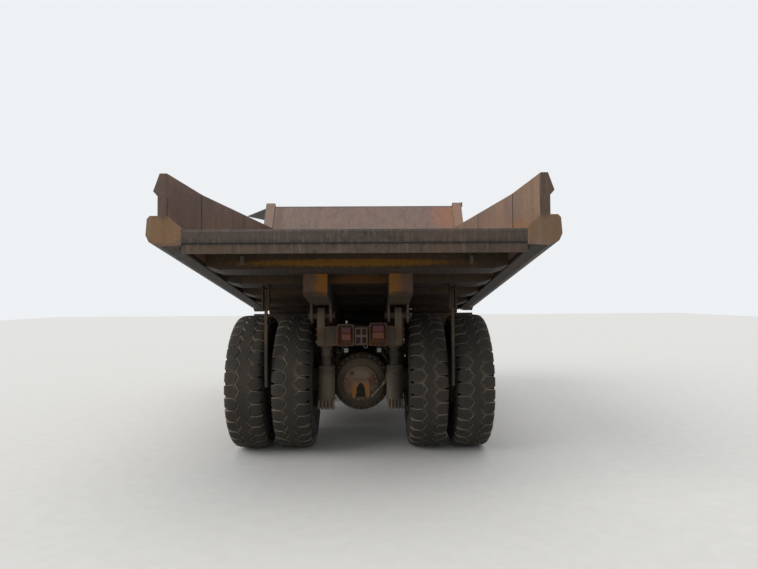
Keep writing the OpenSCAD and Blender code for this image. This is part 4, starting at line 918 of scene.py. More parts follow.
def pipe(build, points, radius, sides=8, closed=False, ripple=0.0):
    """A tube along a line of points. A ripple makes it the wavy bead of a weld."""
    rings = []
    across = None
    last = len(points) - 1
    for i, point in enumerate(points):
        ahead = points[(i + 1) % (last + 1)] if closed else points[min(i + 1, last)]
        behind = points[i - 1] if closed else points[max(i - 1, 0)]
        along = (ahead - behind).normalized()
        across = across or along.orthogonal()
        across = (across - along * across.dot(along)).normalized()
        other = along.cross(across)
        size = radius * (1 + ripple * math.sin(i * 2.1))
        turns = [2 * math.pi * k / sides for k in range(sides)]
        rings.append([point + (across * math.cos(t) + other * math.sin(t)) * size for t in turns])
    build.loft(rings + rings[:1] if closed else rings)


print("a line of four points becomes", len(curve([(i, 0, 0) for i in range(4)])), "points")

# %% [markdown]
# Nuts and valve go into one mesh for each wheel. A ring of nuts is given by its radius about the
# axle, its distance from the truck's middle, how many nuts it has and their size.

# %% Wheel nuts and valves
REAR_NUTS = [(0.34, 1.2465, 24, 0.016), (0.262, 1.466, 20, 0.013), (0.165, 1.588, 12, 0.011)]
REAR_VALVE = [(1.245, 0, 0.372), (1.3, 0, 0.368), (1.36, 0, 0.35), (1.42, 0, 0.34)]
FRONT_NUTS = [(0.325, 1.586, 22, 0.015), (0.172, 1.726, 12, 0.011)]
FRONT_VALVE = [(1.575, 0, 0.372), (1.62, 0, 0.37), (1.66, 0, 0.352)]
VALVE_R = 0.007
for name, body, hub, rings, bend in (
    ("rear_wheel_nuts", "rear_wheels_SIDE", REAR_AXLE, REAR_NUTS, REAR_VALVE),
    ("front_wheel_nuts", "front_wheel_SIDE", FRONT_AXLE, FRONT_NUTS, FRONT_VALVE),
):
    nuts = Build()
    for radius, x, count, size in rings:
        for k in range(count):
            a = 2 * math.pi * (k + 0.5) / count
            spot = (x, hub.y + radius * math.sin(a), hub.z + radius * math.cos(a))
            bolt(nuts, spot, (1, 0, 0), size, size)
    pipe(nuts, curve([Vector(p) + Vector((0, hub.y, hub.z)) for p in bend]), VALVE_R)
    nuts.mirrored(name, body, ZINC, "dusty_steel")

# %% [markdown]
# ## Tail lamps and what hangs round them
# On the cross member sit two open boxes, each with a red lens over an amber one. Moulded lenses
# have upright flutes on their face, which spread the light. Bump could draw them, but half-round
# bars side by side give the ripple a real edge. A black moulded back closes each box above the
# plate, so no light comes through behind a lens.


# %% Chamfered bars
def bar(build, low, high, edge):
    """A box with chamfered edges, as a sawn and dressed bar has."""
    (x0, y0, z0), (x1, y1, z1) = low, high
    e = min(edge, (x1 - x0) / 3, (y1 - y0) / 3, (z1 - z0) / 3)
    rings = []
    for z, inset in ((z0, e), (z0 + e, 0), (z1 - e, 0), (z1, e)):
        a, b, c, d = x0 + inset, x1 - inset, y0 + inset, y1 - inset
        ring = [(a + e, c), (b - e, c), (b, c + e), (b, d - e)]
        ring += [(b - e, d), (a + e, d), (a, d - e), (a, c + e)]
        rings.append([(x, y, z) for x, y in ring])
    build.loft(rings)


sample = Build()
bar(sample, (0, 0, 0), (0.1, 0.1, 0.1), 0.003)
print("a chamfered bar has", len(sample.faces), "faces")

# %% [markdown]
# A lens is 84 mm high, and 3 mm lie between the two of a box. Each is a chamfered block with nine
# flutes that stand about 5 mm proud of it.

# %% Lenses
LAMP_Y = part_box("tail_lamps")[0].y
LENS_Y = LAMP_Y + 0.03
LENS_H, LENS_GAP, FLUTES, BEVEL = 0.084, 0.003, 9, 0.006
# The sides and the top of the lenses, and of the back in each box
LENSES = [(-0.228, -0.110, 1.723), (0.161, 0.308, 1.743)]
BACKS = [(-0.274, -0.084, 1.748), (0.136, 0.339, 1.762)]
lenses = Build()
for x0, x1, top in LENSES:
    for row in (0, 1):
        lenses.place = row
        z1 = top - row * (LENS_H + LENS_GAP)
        z0 = z1 - LENS_H
        low = (x0 - 0.003, LENS_Y - 0.008, z0 - 0.001)
        bar(lenses, low, (x1 + 0.003, LENS_Y + 0.012, z1 + 0.001), BEVEL)
        step = (x1 - x0 - 0.012) / FLUTES
        y = LENS_Y - 0.007
        for i in range(FLUTES):
            x = x0 + 0.006 + (i + 0.5) * step
            rod(lenses, (x, y, z0 + 0.007), (x, y, z1 - 0.007), step * 0.46, 8)
lenses.place = 2
for x0, x1, top in BACKS:
    bar(lenses, (x0, LAMP_Y + 0.072, 1.70), (x1, LAMP_Y + 0.086, top), 0.002)
lenses.made("lamp_lenses", "chassis", [RED, AMBER, BLACK_ABS], "lamp_lens")

# %% [markdown]
# Two round work lamps hang below the panel, each a cluster of four bulbs in a finned rim. At this
# size the fins are only a dark ring with a broken edge, so 24 short pins stand for them.

# %% Work lamps
WORK_LAMP_Z, FIN_RING, FINS = 1.43, 0.031, 24
work = Build()
for x in WORK_LAMPS_X:
    y = LAMP_Y + 0.008
    for k in range(FINS):
        a = k * 2 * math.pi / FINS
        fin = Vector((x + FIN_RING * math.cos(a), y, WORK_LAMP_Z + FIN_RING * math.sin(a)))
        rod(work, fin, fin + Vector((0, 0.02, 0)), 0.005, 6)
    work.place = 1
    for dx, dz in ((-1, -1), (-1, 1), (1, -1), (1, 1)):
        bulb = Vector((x + dx * 0.012, y - 0.002, WORK_LAMP_Z + dz * 0.012))
        rod(work, bulb, bulb + Vector((0, 0.012, 0)), 0.0105, 16)
    work.place = 0
work.made("work_lamp_faces", "chassis", [BLACK_ABS, CLEAR], "lamp_lens")

# %% [markdown]
# A white knob stands on the left box, a safety shackle hangs in the guard, and small screws hold
# the boxes. They are a few pixels each, but bright ones, and the eye finds them at once. The knob
# is turned, and the shackle is a pipe bent round into a ring.

# %% Knob, shackle and screws
KNOB = [(0, 0.008), (0.02, 0.007), (0.024, 0.014), (0.034, 0.018), (0.046, 0.014), (0.051, 0.006)]
small = Build()
lathe(small, (-0.165, LAMP_Y + 0.05, 1.752), UP, KNOB, 16)
small.made("white_knob", "chassis", WHITE, "dusty_steel", True)

small = Build()
for x in (-0.272, -0.087, 0.138, 0.337):
    for z in (1.505, 1.735):
        bolt(small, (x, LAMP_Y + 0.002, z), (0, -1, 0), 0.006, 0.005)
small.made("lamp_box_screws", "chassis", ZINC, "dusty_steel")

SHACKLE_X, SHACKLE_Y = 0.077, LAMP_Y + 0.09
turns = [k * math.pi / 10 for k in range(1, 20)]
top = Vector((SHACKLE_X, SHACKLE_Y, 1.506))
arc = [
    Vector((SHACKLE_X + 0.022 * math.sin(a), SHACKLE_Y, 1.478 + 0.026 * math.cos(a)))
    for a in turns
]
ring = Build()
pipe(ring, [top] + arc + [top], 0.007)
ring.made("safety_shackle", "chassis", ZINC, "dusty_steel", True)

# %% [markdown]
# ## Rear axle
# The housing's round cover is held by a ring of bolts, with a second ring on its flange. Under the
# arched guard the drain's opening lies in deep shade. A hole could be cut there, but a flat black
# closed form in the arch paints that shade, reads the same from behind and leaves the model's
# casting as it is.

# %% Cover bolts and the drain's recess
CAP_Y = REAR_AXLE.y - 0.45
# Rings of bolts: radius, place along Y, how many, size, and how far they lean up
COVER_RINGS = [(0.215, CAP_Y + 0.028, 20, 0.011, 0), (0.362, CAP_Y + 0.218, 28, 0.012, 0.1)]
cover = Build()
for radius, y, count, size, lean in COVER_RINGS:
    for k in range(count):
        a = 2 * math.pi * (k + 0.5) / count
        spot = (radius * math.sin(a), y, REAR_AXLE.z + radius * math.cos(a))
        bolt(cover, spot, (0, -1, lean), size, size)
cover.made("axle_cover_bolts", "chassis", ZINC, "dusty_steel")

# Right halves of two outlines, as (x, height over the axle)
RECESS_SHADE = [(0, -0.058), (0.048, -0.062), (0.06, -0.11), (0.068, -0.168)]
ARCH_SHADE = [(0, 0.03), (0.022, 0.014), (0.044, -0.02), (0.062, -0.062), (0.06, -0.165)]
shade_form = Build()
for half, ends in (
    (RECESS_SHADE, ((CAP_Y - 0.008, 1.0), (CAP_Y + 0.01, 1.0))),
    (ARCH_SHADE, ((CAP_Y - 0.034, 0.9), (CAP_Y - 0.02, 1.0))),
):
    outline = [(-x, z) for x, z in half[:0:-1]] + half
    shade_form.loft([[(x * k, y, REAR_AXLE.z + z * k) for x, z in outline] for y, k in ends])
shade_form.made("drain_recess_painted_shade", "chassis", SHADE_BLACK, "dark_iron")

# %% [markdown]
# A filler pipe climbs to the right from the cover, and steel brake lines are clipped along the
# tube of the axle. All of them are rigid, so each is one pipe, bent smoothly through a few points.

# %% Filler pipe, brake lines and fittings
FILLER = [(0.153, -1.945, 0.76), (0.165, -1.955, 0.78), (0.25, -1.955, 0.87)]
FILLER += [(0.322, -1.94, 0.95), (0.345, -1.87, 0.995), (0.35, -1.79, 1.03)]
pipes = Build()
pipe(pipes, curve(FILLER), 0.014)
for p in (FILLER[1], FILLER[3]):
    nut = (Vector(p) - Vector((0.02, 0, 0.02)), Vector(p) + Vector((0.004, 0, 0.004)))
    rod(pipes, *nut, 0.021, 10)
pipes.made("axle_filler_pipe", "chassis", STRUT_STEEL, "dusty_steel", True)

LINE_R = 0.008
lines = Build()
for s in SIDES.values():
    for shift in (0, 0.03):
        tee = (s * 0.30, -1.60, 1.30 + shift)
        bends = [tee, (s * 0.38, -1.62, 1.20), (s * 0.50, -1.62 - shift, 1.13)]
        pipe(lines, curve(bends + [(s * 0.58, -1.60 - shift, 1.12)]), LINE_R)
        bends = [tee, (s * 0.22, -1.58, 1.38), (s * 0.2, -1.3, 1.47), (s * 0.3, -1.05, 1.5)]
        pipe(lines, curve(bends), LINE_R)
lines.made("steel_brake_lines", "chassis", PIPE, "dark_iron", True)

NIPPLE = [(0, 0.010), (0.008, 0.014), (0.02, 0.014), (0.026, 0.008), (0.036, 0.007)]
fittings = Build()
for place in ((-0.573, -2.03, 1.504), (0.581, -2.03, 1.531), (0.597, -1.99, 1.31)):
    lathe(fittings, place, (0, -1, 0.2), NIPPLE, 8)
fittings.made("bright_fittings", "chassis", BRIGHT, "dusty_steel")

# %% [markdown]
# ## Suspension struts
# Each rear strut is a gas-charged cylinder. Its foot is clamped by a row of studs, and its barrel
# has raised collars. One strut is built on the right, and its mirror image stands on the left.

# %% Strut clamps
STRUT = Vector((STRUT_X, REAR_AXLE.y - 0.47, 0))
STUD_STEP = 0.046
studs = Build()
for k in range(5):
    x = STRUT.x + (k - 2) * STUD_STEP
    for y in (STRUT.y - 0.105, STRUT.y - 0.05):
        rod(studs, (x, y, 0.612), (x, y, 0.735), 0.0155, 10)
        rod(studs, (x, y, 0.622), (x, y, 0.652), 0.0225, 6)
for z, radius in ((0.742, 0.121), (1.075, 0.118), (1.152, 0.116)):
    collar = [(-0.010, radius - 0.012), (-0.007, radius), (0.007, radius), (0.010, radius - 0.012)]
    lathe(studs, (STRUT.x, STRUT.y, z), UP, collar, 32)
studs.mirrored("strut_clamp", "chassis", STRUT_STEEL, "dusty_steel")

# %% [markdown]
# ## Body: pins, hooks and welds
# The tipping hinge's pins have capped ends with three screws. A hook hangs under the tail on each
# side, where a prop holds the raised body in the workshop. Both ride on the body, so they tip with
# it.

# %% Hinge pins and hooks
HINGE = Vector(JOINTS["bed_tip"]["pos_m"])
CAP_FACES = ((0.3325, -1), (0.6575, 1))
THIRD_TURN = 2.094
pins = Build()
for x, out in CAP_FACES:
    rod(pins, (x, HINGE.y, HINGE.z), (x + out * 0.006, HINGE.y, HINGE.z), 0.052, 24)
    for k in range(3):
        a = k * THIRD_TURN + 0.5
        head = (x + out * 0.004, HINGE.y + 0.03 * math.sin(a), HINGE.z + 0.03 * math.cos(a))
        bolt(pins, head, (out, 0, 0), 0.009, 0.008)
pins.mirrored("hinge_pin_heads", "bed", ZINC, "dusty_steel")

HOOK_X = 1.26
HOOK = [(-3.246, 2.57), (-3.27, 2.54), (-3.285, 2.5), (-3.315, 2.48), (-3.34, 2.505)]
HOOK += [(-3.342, 2.55)]
hooks = Build()
pipe(hooks, curve([(HOOK_X, y, z) for y, z in HOOK]), 0.022)
bar(hooks, (HOOK_X - 0.035, -3.25, 2.5), (HOOK_X + 0.035, -3.2385, 2.6), 0.004)
hooks.mirrored("body_prop_hook", "bed", STRUT_STEEL, "dusty_steel")

# %% [markdown]
# Under each edge of the floor a bent plate runs from the tail to the front, and closes the ends of
# the ribs. It follows the floor's slope, so its section is carried along by the floor's height.

# %% Floor edge sill
SLOPE = math.radians(9)
SILL_START, SILL_STEP, SILL_COUNT = -3.93, 0.17, 26
SILL_SECTION = [(1.682, -0.186), (1.694, -0.202), (1.87, -0.05), (1.858, -0.036)]


def floor_z(y):
    """Height of the body's floor at y."""
    return LIP_Z - (y - TAIL_Y) * math.tan(SLOPE)


sill = Build()
stations = [SILL_START + SILL_STEP * i for i in range(SILL_COUNT)]
sill.loft([[(x, y, floor_z(y) + z) for x, z in SILL_SECTION] for y in stations])
sill.mirrored("floor_edge_sill", "bed", RIB_STEEL, "worn_steel")

# %% [markdown]
# Where the plates of a wall were joined, a bead of weld stands a few millimetres proud, and each
# stake is welded along its edges. A weld is a row of overlapping puddles, so its bead ripples
# every centimetre. A straight bead would look like a wire.

# %% Weld seams
# The inner face of the right wall
WALL_X = 1.815
RIPPLE_M = 0.012


def weld(build, start, end, radius=0.007):
    """A straight bead with ripples."""
    start, end = Vector(start), Vector(end)
    count = max(4, int((end - start).length / RIPPLE_M))
    pipe(build, [start.lerp(end, i / count) for i in range(count + 1)], radius, 6, ripple=0.2)


seams = Build()
for y in (-2.98, -0.95):
    weld(seams, (WALL_X, y, floor_z(y) + 0.13), (WALL_X, y, 3.3 + max(0, y + 2.93) * 0.04))
for y in (-3.2, -2.35, -1.5, -0.65, 0.2):
    weld(seams, (1.72, y, floor_z(y) + 0.05), (WALL_X - 0.01, y, floor_z(y) + 0.118), 0.006)
weld(seams, (1.816, TAIL_Y + 0.006, LIP_Z + 0.13), (1.816, TAIL_Y + 0.006, 3.07), 0.008)
seams.mirrored("wall_weld_seams", "bed", WELD, "worn_steel")

# %% [markdown]
# ## Hoists
# A two-stage cylinder tips the body. Each barrel ends in a gland, a collar bolted down over the
# seals. Near its foot it has a band and a port for the oil. The pieces are placed along the
# cylinder's own lean and ride on its barrel, so they swing with it.

# %% Glands, bands and ports
# The foot of the right cylinder's middle line, and the way it leans
FOOT = Vector((0.78, -0.27, 0.62))
LEAN = (Vector((FOOT.x, -0.07, 1.9)) - FOOT).normalized()
GLAND_BOLTS = 16
gland = Build()
for spot in circle(FOOT + LEAN * 1.08, LEAN, 0.094, GLAND_BOLTS):
    bolt(gland, spot + LEAN * 0.066, LEAN, 0.008, 0.008)
band = [(-0.012, 0.1), (-0.009, 0.107), (0.009, 0.107), (0.012, 0.1)]
lathe(gland, FOOT + LEAN * 0.3, LEAN, band, 32)
port = FOOT + LEAN * 0.36 + Vector((-0.095, 0, 0))
rod(gland, port, port + Vector((-0.035, 0, 0)), 0.022, 6)
gland.mirrored("hoist_gland", "hoist_barrel_SIDE", ZINC, "dusty_steel")
print("hoist leans", round(math.degrees(math.atan2(LEAN.y, LEAN.z)), 1), "degrees")

# %% [markdown]
# ## Frame: lines along the rails
# Steel lines run along the inner side of each rail in clips, and bolts hold the cross members. The
# lines are rigid and follow the rail, so three bent pipes and four clips are all it takes.

# %% Rail lines, clips and bolts
LINE_RUN = [(-2.2, 0, 0), (-1.6, 0, 0), (-1.2, 0, 0), (-0.6, 0.02, 0.02)]
LINE_RUN += [(0.2, 0, 0.05), (1.2, 0, 0.06)]
lines = Build()
for row in (0, 1, 2):
    x, z = 0.392 - 0.004 * row, 1.56 - 0.035 * row
    pipe(lines, curve([(x - inward, y, z - fall) for y, inward, fall in LINE_RUN]), 0.010)
for y in (-2.0, -1.4, 0.25, 1.0):
    bar(lines, (0.378, y, 1.42), (0.4095, y + 0.03, 1.6), 0.004)
lines.mirrored("rail_lines", "chassis", PIPE, "dark_iron", True)

bolts = Build()
for y in (-2.1, -2.0, -1.9, -0.75, -0.65):
    for z in (1.52, 1.60, 1.68):
        bolt(bolts, (0.58, y, z), (1, 0, 0), 0.012, 0.012)
for x in (-0.36, -0.18, 0, 0.18, 0.36):
    if abs(x) > 0.34:
        bolt(bolts, (x, -2.34, 1.7), (0, -1, 0), 0.01, 0.01)
    else:
        bolt(bolts, (x, -2.3, 1.728), UP, 0.01, 0.01)
bolts.mirrored("frame_bolts", "chassis", ZINC, "dusty_steel")

# %% [markdown]
# ## Cab
# Each window sits in a rubber gasket, a bead that runs round its rounded corners. A gasket is a
# closed pipe along a rounded rectangle, drawn once and placed on each wall. The windscreen leans
# back, so its gasket moves back as it rises. The door's own gasket rides on the door.


# %% Gaskets
def round_window(a0, a1, b0, b1, radius=0.05):
    """A rounded rectangle as (a, b) points."""
    low_a, high_a, low_b, high_b = a0 + radius, a1 - radius, b0 + radius, b1 - radius
    path = []
    corners = [(high_a, high_b), (low_a, high_b), (low_a, low_b), (high_a, low_b)]
    for first, (a, b) in enumerate(corners):
        for k in range(6):
            t = (first + k / 5) * math.pi / 2
            path.append((a + radius * math.cos(t), b + radius * math.sin(t)))
    return path


CAB_LEFT, CAB_RIGHT, CAB_REAR = -1.85, -0.75, 1.80
SIDE_HEIGHTS, END_WINDOW = (2.735, 3.355), (-1.76, -0.84, 2.755, 3.365)
SCREEN_Y, SCREEN_Z, SCREEN_BACK, SCREEN_HIGH = 3.252, 2.695, 0.13, 0.72
PROUD, BEAD = 0.002, 0.009


def screen_y(z):
    """Where the leaning windscreen is at a height."""
    return SCREEN_Y - SCREEN_BACK * (z - SCREEN_Z) / SCREEN_HIGH


left = [(CAB_LEFT - PROUD, a, b) for a, b in round_window(1.89, 2.07, *SIDE_HEIGHTS)]
right = [(CAB_RIGHT + PROUD, a, b) for a, b in round_window(2.0, 3.0, *SIDE_HEIGHTS)]
rear = [(a, CAB_REAR - PROUD, b) for a, b in round_window(*END_WINDOW)]
front = [(a, screen_y(b), b) for a, b in round_window(*END_WINDOW)]
door = [(CAB_LEFT - PROUD, a, b) for a, b in round_window(2.22, 2.84, *SIDE_HEIGHTS)]
for name, body, paths in (
    ("window_gaskets", "chassis", (left, right, rear, front)),
    ("door_window_gasket", "cab_door", (door,)),
):
    gaskets = Build()
    for path in paths:
        pipe(gaskets, [Vector(p) for p in path], BEAD, 6, True)
    gaskets.made(name, body, BLACK_ABS, "black_plastic", True)

# %% [markdown]
# The windscreen has one wiper: a spindle, a bent arm and a straight blade. The two mirrors are
# silvered glass set into their black backs. The glass is a shallow lens with a soft edge, because
# a flat sheet would show one flat colour.

# %% Wiper and mirror glass
wiper = Build()
pipe(wiper, curve([(-1.3, 3.262, 2.74), (-1.36, 3.245, 2.9), (-1.44, 3.222, 3.08)]), 0.008)
bar(wiper, (-1.46, 3.2, 2.84), (-1.44, 3.222, 3.24), 0.004)
rod(wiper, (-1.3, 3.25, 2.73), (-1.3, 3.275, 2.735), 0.02)
wiper.made("windscreen_wiper", "chassis", BLACK_ABS, "black_plastic")

MIRROR_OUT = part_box("mirrors")[1].x
DECK_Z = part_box("decks")[1].z
path = round_window(
    MIRROR_OUT - 0.205, MIRROR_OUT - 0.015, DECK_Z + 0.715, DECK_Z + 1.135, 0.035
)
middle = (MIRROR_OUT - 0.11, DECK_Z + 0.925)
glass = Build()
rings = []
for y, share in ((3.602, 1.0), (3.5985, 0.995), (3.5965, 0.97), (3.5945, 0.5)):
    ring = [[m + (v - m) * share for m, v in zip(middle, spot)] for spot in path]
    rings.append([(x, y, z) for x, z in ring])
glass.loft(rings)
glass.mirrored("mirror_glass", "chassis", SILVER, "glass", True)

# %% [markdown]
# ### Operator's seat
# The seat is a pressed-foam cushion and back in woven cloth. Foam pulled tight over a pan is
# crowned in the middle and drawn in at its seams. Cloth simulation could swell it, but a closed
# form whose section grows and shrinks gives the same crown, with sewn channels as shallow
# valleys, and it comes out the same on every run.

# %% Seat cushions
SQUARENESS, CROWN_SHARE, CHANNELS, LEVELS, ROUND = 4.0, 0.12, 3, 14, 36


def cushion(low, high, across):
    """A crowned pad between two corners, thin along the axis numbered across."""
    build = Build()
    low, high = Vector(low), Vector(high)
    middle, half = (low + high) / 2, (high - low) / 2
    first, second = [i for i in range(3) if i != across]
    rings = []
    for level in range(LEVELS + 1):
        v = math.pi * (level / LEVELS - 0.5)
        ring = []
        for k in range(ROUND):
            t = 2 * math.pi * k / ROUND
            c, s = math.cos(t), math.sin(t)
            flat = (abs(c) ** SQUARENESS + abs(s) ** SQUARENESS) ** (-1 / SQUARENESS)
            shrink = max(0.02, math.cos(v)) ** 0.35
            point = Vector((0, 0, 0))
            point[first] = c * flat * shrink
            point[second] = s * flat * shrink
            # Sewn channels are narrow valleys, and the crown falls off towards the edge
            seam = 1 - 0.10 * abs(math.cos(CHANNELS * math.pi * point[first] / 2)) ** 14
            edge = 1 - CROWN_SHARE * (point[first] ** 2 + point[second] ** 2) / 2
            point[across] = math.sin(v) * seam * edge
            ring.append(middle + Vector([point[i] * half[i] for i in range(3)]))
        rings.append(ring)
    build.loft(rings)
    return build


SEAT_LOW, SEAT_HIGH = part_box("operator_seat")
seat_x = (SEAT_LOW.x + SEAT_HIGH.x) / 2
SEAT_PADS = {
    "seat_cushion": ((-0.238, 2.065, 2.4), (0.238, 2.555, 2.523), 2),
    "seat_back": ((-0.228, 1.935, 2.51), (0.228, 2.085, 3.17), 1),
}
for name, (low, high, across) in SEAT_PADS.items():
    pad = cushion((seat_x + low[0], *low[1:]), (seat_x + high[0], *high[1:]), across)
    pad = pad.made(name, "chassis", SEAT_CLOTH, "seat_fabric", True)
    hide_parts("operator_seat")

# %% [markdown]
# The seat stands on a suspension whose scissors hide in rubber bellows. Bellows are turned, with
# one fold for every 50 mm of height.

# %% Seat bellows
BELLOWS = [(0, 0.2), (0.02, 0.2), (0.03, 0.16)]
for k in range(5):
    BELLOWS += [(0.05 + k * 0.05, 0.17), (0.075 + k * 0.05, 0.145)]
BELLOWS += [(0.3, 0.17), (0.318, 0.18), (0.326, 0.17)]
stand = Build()
lathe(stand, (seat_x, 2.3, SEAT_LOW.z), UP, BELLOWS, 24)
stand = stand.made("seat_bellows", "chassis", BLACK_ABS, "black_plastic", True)
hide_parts("operator_seat")

# %% [markdown]
# ## Front: grille core, headlamps and caps
# Behind the grille's bars stands the radiator, whose fins show as fine upright lines. They are
# drawn 16 mm apart, coarser than the real 3 mm, so that they still show from a few steps away. Each
# is a thin three-sided strip. The headlamps get pressed steel rims, turned like the real ones.

# %% Radiator fins and headlamp rims
GRILLE_LOW, GRILLE_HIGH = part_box("radiator_grille")
FIN_COUNT, CORE_HALF = 60, 0.49
fins = Build()
y = GRILLE_LOW.y + 0.141
for i in range(FIN_COUNT + 1):
    x = -CORE_HALF + 2 * CORE_HALF * i / FIN_COUNT
    zs = (GRILLE_LOW.z + 0.07, GRILLE_HIGH.z - 0.07)
    fins.loft([[(x - 0.003, y, z), (x, y + 0.012, z), (x + 0.003, y, z)] for z in zs])
fins.made("radiator_fins", "chassis", PIPE, "dark_iron")

NOSE_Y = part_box("bumper")[1].y
RIM = [(0, 0.058), (0.004, 0.066), (0.012, 0.066), (0.014, 0.056), (0.008, 0.05)]
rims = Build()
for x in (0.68, 0.82):
    lathe(rims, (x, NOSE_Y - 0.02, 1.09), (0, 1, 0), RIM, 32)
rims.mirrored("headlamp_rims", "chassis", ZINC, "dusty_steel", True)

# %% [markdown]
# The bumper is bolted to the rails, and a hatch in the hood opens on two hinges at its left edge,
# with two latches on the right. It is a sheet that stands a little proud, so one bar makes it.

# %% Bumper bolts and hood hatch
bolts = Build()
for x in (0.3, 0.45, 0.93):
    for z in (0.96, 1.22):
        bolt(bolts, (x, NOSE_Y - 0.003, z), (0, 1, 0), 0.014, 0.011)
bolts.mirrored("bumper_bolts", "chassis", ZINC, "dusty_steel")

HOOD_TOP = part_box("hood")[1].z
EDGE_X, PIN_Z = -0.42, HOOD_TOP + 0.01
hatch = Build()
bar(hatch, (-0.4, 1.85, HOOD_TOP - 0.002), (0.4, 3.3, HOOD_TOP + 0.008), 0.004)
for y in (2.1, 3.05):
    rod(hatch, (EDGE_X, y - 0.06, PIN_Z), (EDGE_X, y + 0.06, PIN_Z), 0.014, 12)
    bar(hatch, (0.36, y - 0.02, HOOD_TOP + 0.004), (0.43, y + 0.02, HOOD_TOP + 0.016), 0.004)
    bolt(hatch, (0.415, y, HOOD_TOP + 0.015), UP, 0.008, 0.008)
hatch.made("hood_hatch", "chassis", CAB_YELLOW, "yellow_paint")

# %% [markdown]
# Each side tank has a filler cap with a knurled edge, for a gloved hand, and bolts at its straps.
# The knurl is sixteen small pins round the cap. The air cleaners' canisters are parted by clamp
# bands, each drawn tight by one bolt.

# %% Tank and air cleaner hardware
CAP = [(0, 0.074), (0.006, 0.08), (0.03, 0.08), (0.038, 0.07), (0.04, 0.02)]
caps = Build()
lathe(caps, (1.56, 0.8, 1.607), UP, CAP, 24)
for spot in circle(Vector((1.56, 0.8, 1.615)), Vector(UP), 0.08, 16):
    rod(caps, spot, spot + Vector((0, 0, 0.02)), 0.005, 6)
for y in (-0.13, 0.69):
    for z in (0.9, 1.3):
        bolt(caps, (1.77, y, z), (1, 0, 0), 0.014, 0.014)
caps.mirrored("tank_caps_and_bolts", "chassis", ZINC, "dusty_steel")

clamps = Build()
for x in (0.90, 1.33):
    for z, radius in ((0.255, 0.176), (0.56, 0.166)):
        band = [(-0.012, radius), (-0.01, radius + 0.004), (0.01, radius + 0.004), (0.012, radius)]
        lathe(clamps, (x, 3.28, DECK_Z + z), UP, band, 32)
        bolt(clamps, (x, 3.28 - radius, DECK_Z + z), (0, -1, 0), 0.012, 0.02)
clamps.made("air_cleaner_clamps", "chassis", ZINC, "dusty_steel")

# %% [markdown]
# ## Decks, rails and ladders
# The decks are chequer plate: rows of raised lozenges, each turned against its neighbour, so that
# boots grip. Bump would do from afar, but from the side the lozenges break the deck's edge, so
# each is a low five-faced form. None lies under the cab or the air cleaners.

# %% Chequer plate
LOZENGE_STEP, LOZENGE_LONG, LOZENGE_WIDE, LOZENGE_HIGH = 0.058, 0.021, 0.006, 0.0045
LOZENGE_FACES = [(0, 1, 5, 4), (1, 2, 6, 5), (2, 3, 7, 6), (3, 0, 4, 7), (4, 5, 6, 7)]
COLUMNS, ROWS = 24, 37
COVERED = {
    "left": [(0.72, 1.88, 1.77, 3.28)],
    "right": [(0.7, 1.1, 3.08, 3.48), (1.13, 1.53, 3.08, 3.48)],
}
for side, sign in SIDES.items():
    plate = Build()
    for i in range(COLUMNS):
        for j in range(ROWS):
            x, y = 0.6 + i * LOZENGE_STEP, 1.54 + j * LOZENGE_STEP
            if any(a < x < b and c < y < d for a, b, c, d in COVERED[side]):
                continue
            turn = math.pi / 4 if (i + j) % 2 else -math.pi / 4
            along = Vector((math.cos(turn), math.sin(turn), 0)) * LOZENGE_LONG
            over = Vector((-math.sin(turn), math.cos(turn), 0)) * LOZENGE_WIDE
            middle = Vector((x, y, DECK_Z - 0.0005))
            base = [middle + along, middle + over, middle - along, middle - over]
            crest = [middle + (p - middle) * 0.6 + Vector((0, 0, LOZENGE_HIGH)) for p in base]
            points = [Vector((p.x * sign, p.y, p.z)) for p in base + crest]
            plate.put(points, LOZENGE_FACES)
    plate.made("chequer_plate_" + side, "chassis", CAB_YELLOW, "yellow_paint")

# %% [markdown]
# The handrails' posts stand on flanges with four bolts, and the rungs of the ladders carry two
# rows of raised studs each, so that a muddy boot holds.

# %% Post feet and rung studs
POSTS = ((1.92, 2.61), (1.92, 3.66), (1.57, 3.66), (1.02, 3.66), (0.64, 3.66))
FLANGE = [(0, 0.036), (0.01, 0.036), (0.014, 0.03), (0.03, 0.024)]
RUNGS, STUDS = 6, 14
feet = Build()
for x, y in POSTS:
    lathe(feet, (x, y, DECK_Z), UP, FLANGE, 16)
    for k in range(4):
        a = (k + 0.5) * math.pi / 2
        spot = (x + 0.029 * math.cos(a), y + 0.029 * math.sin(a), DECK_Z + 0.01)
        bolt(feet, spot, UP, 0.005, 0.006)
for i in range(RUNGS):
    share = (i + 0.5) / RUNGS
    y, z = 3.96 - 0.24 * share, 0.52 + 1.535 * share + 0.03
    for k in range(STUDS):
        for dy in (0.01, 0.045):
            stud = Vector((1.14 + k * 0.024, y + dy, z - 0.001))
            lathe(feet, stud, UP, [(0, 0.007), (0.004, 0.005)], 6)
feet.mirrored("post_feet_and_rung_studs", "chassis", CAB_YELLOW, "yellow_paint")

# %% [markdown]
# ## Floor and light
# The floor is a plain pale sheet. A truck this low over white paper would be lit from below as it
# never is at work, so the light that the floor throws back at it is that of dull grey. Only the
# camera, gloss and glass see it pale. It is stage, not part of the truck.

# %% Floor
SEEN_DIRECTLY = ("Is Camera Ray", "Is Glossy Ray", "Is Transmission Ray")


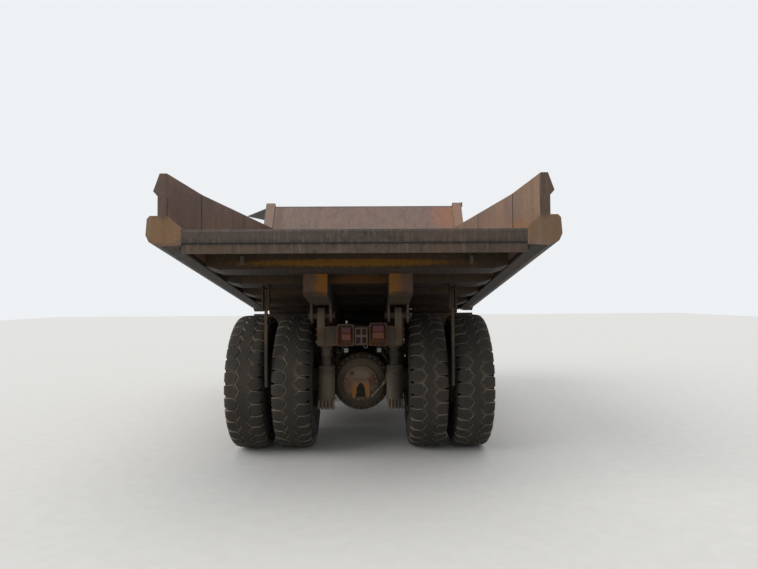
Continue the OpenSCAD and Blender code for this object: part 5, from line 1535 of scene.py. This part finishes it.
def direct_view(tree):
    """1 for rays that see the scene as the camera does, 0 for those that only carry light."""
    seen, *others = [add(tree, "LightPath", {}, kind) for kind in SEEN_DIRECTLY]
    for ray in others:
        seen = add(tree, "Math", {0: seen, 1: ray}, operation="MAXIMUM")
    return seen


mesh = bpy.data.meshes.new("floor")
mesh.from_pydata([(-40, -40, 0), (40, -40, 0), (40, 60, 0), (-40, 60, 0)], [], [(0, 1, 2, 3)])
floor = bpy.data.objects.new("floor", mesh)
bpy.context.collection.objects.link(floor)
pale, tree, place = blank("pale_floor")
grain = add(tree, "TexNoise", {"Vector": place, "Scale": per(160)})
lit = add(tree, "Mix", {0: grain, 6: rgb("#cfccc6"), 7: rgb("#dad7d1")}, 2, **COLOUR)
colour = add(tree, "Mix", {0: direct_view(tree), 6: rgb("#77736c"), 7: lit}, 2, **COLOUR)
sheet = {"Base Color": colour, "Roughness": 0.9}
add(tree, "OutputMaterial", {0: add(tree, "BsdfPrincipled", sheet)})
floor.data.materials.append(pale)
print("floor", floor.dimensions.x, "m wide")

# %% [markdown]
# One wide sun from the left and behind the camera shapes the steel, a wider one from above fills
# it, and the world gives the rest, all at a level at which a colour renders about as it was
# written. Narrow suns would throw hard shadows, and soft daylight doesn't. The camera, gloss and
# glass see the world whiter than the light that it gives.

# %% World and suns
world = bpy.data.worlds.new("studio")
world.use_nodes = True
tree = world.node_tree
tree.nodes.clear()
sky = add(tree, "Background", {0: rgb("#e8edf4"), 1: 0.7})
pale = add(tree, "Background", {0: rgb("#eef1f4"), 1: 1.0})
add(tree, "OutputWorld", {0: add(tree, "MixShader", {0: direct_view(tree), 1: sky, 2: pale})})
bpy.context.scene.world = world

# Each sun: its name, strength, width in degrees and aim
SUNS = [("key", 1.5, 40, (0.8, 0.42, -0.62)), ("top", 0.9, 60, (-0.1, 0.1, -1))]
for name, energy, angle, aim in SUNS:
    sun = bpy.data.objects.new(name, bpy.data.lights.new(name, "SUN"))
    sun.data.energy = energy
    sun.data.angle = math.radians(angle)
    sun.rotation_euler = Vector(aim).to_track_quat("-Z", "Y").to_euler()
    bpy.context.collection.objects.link(sun)
    print(name, energy, "W/m2 over", angle, "degrees")
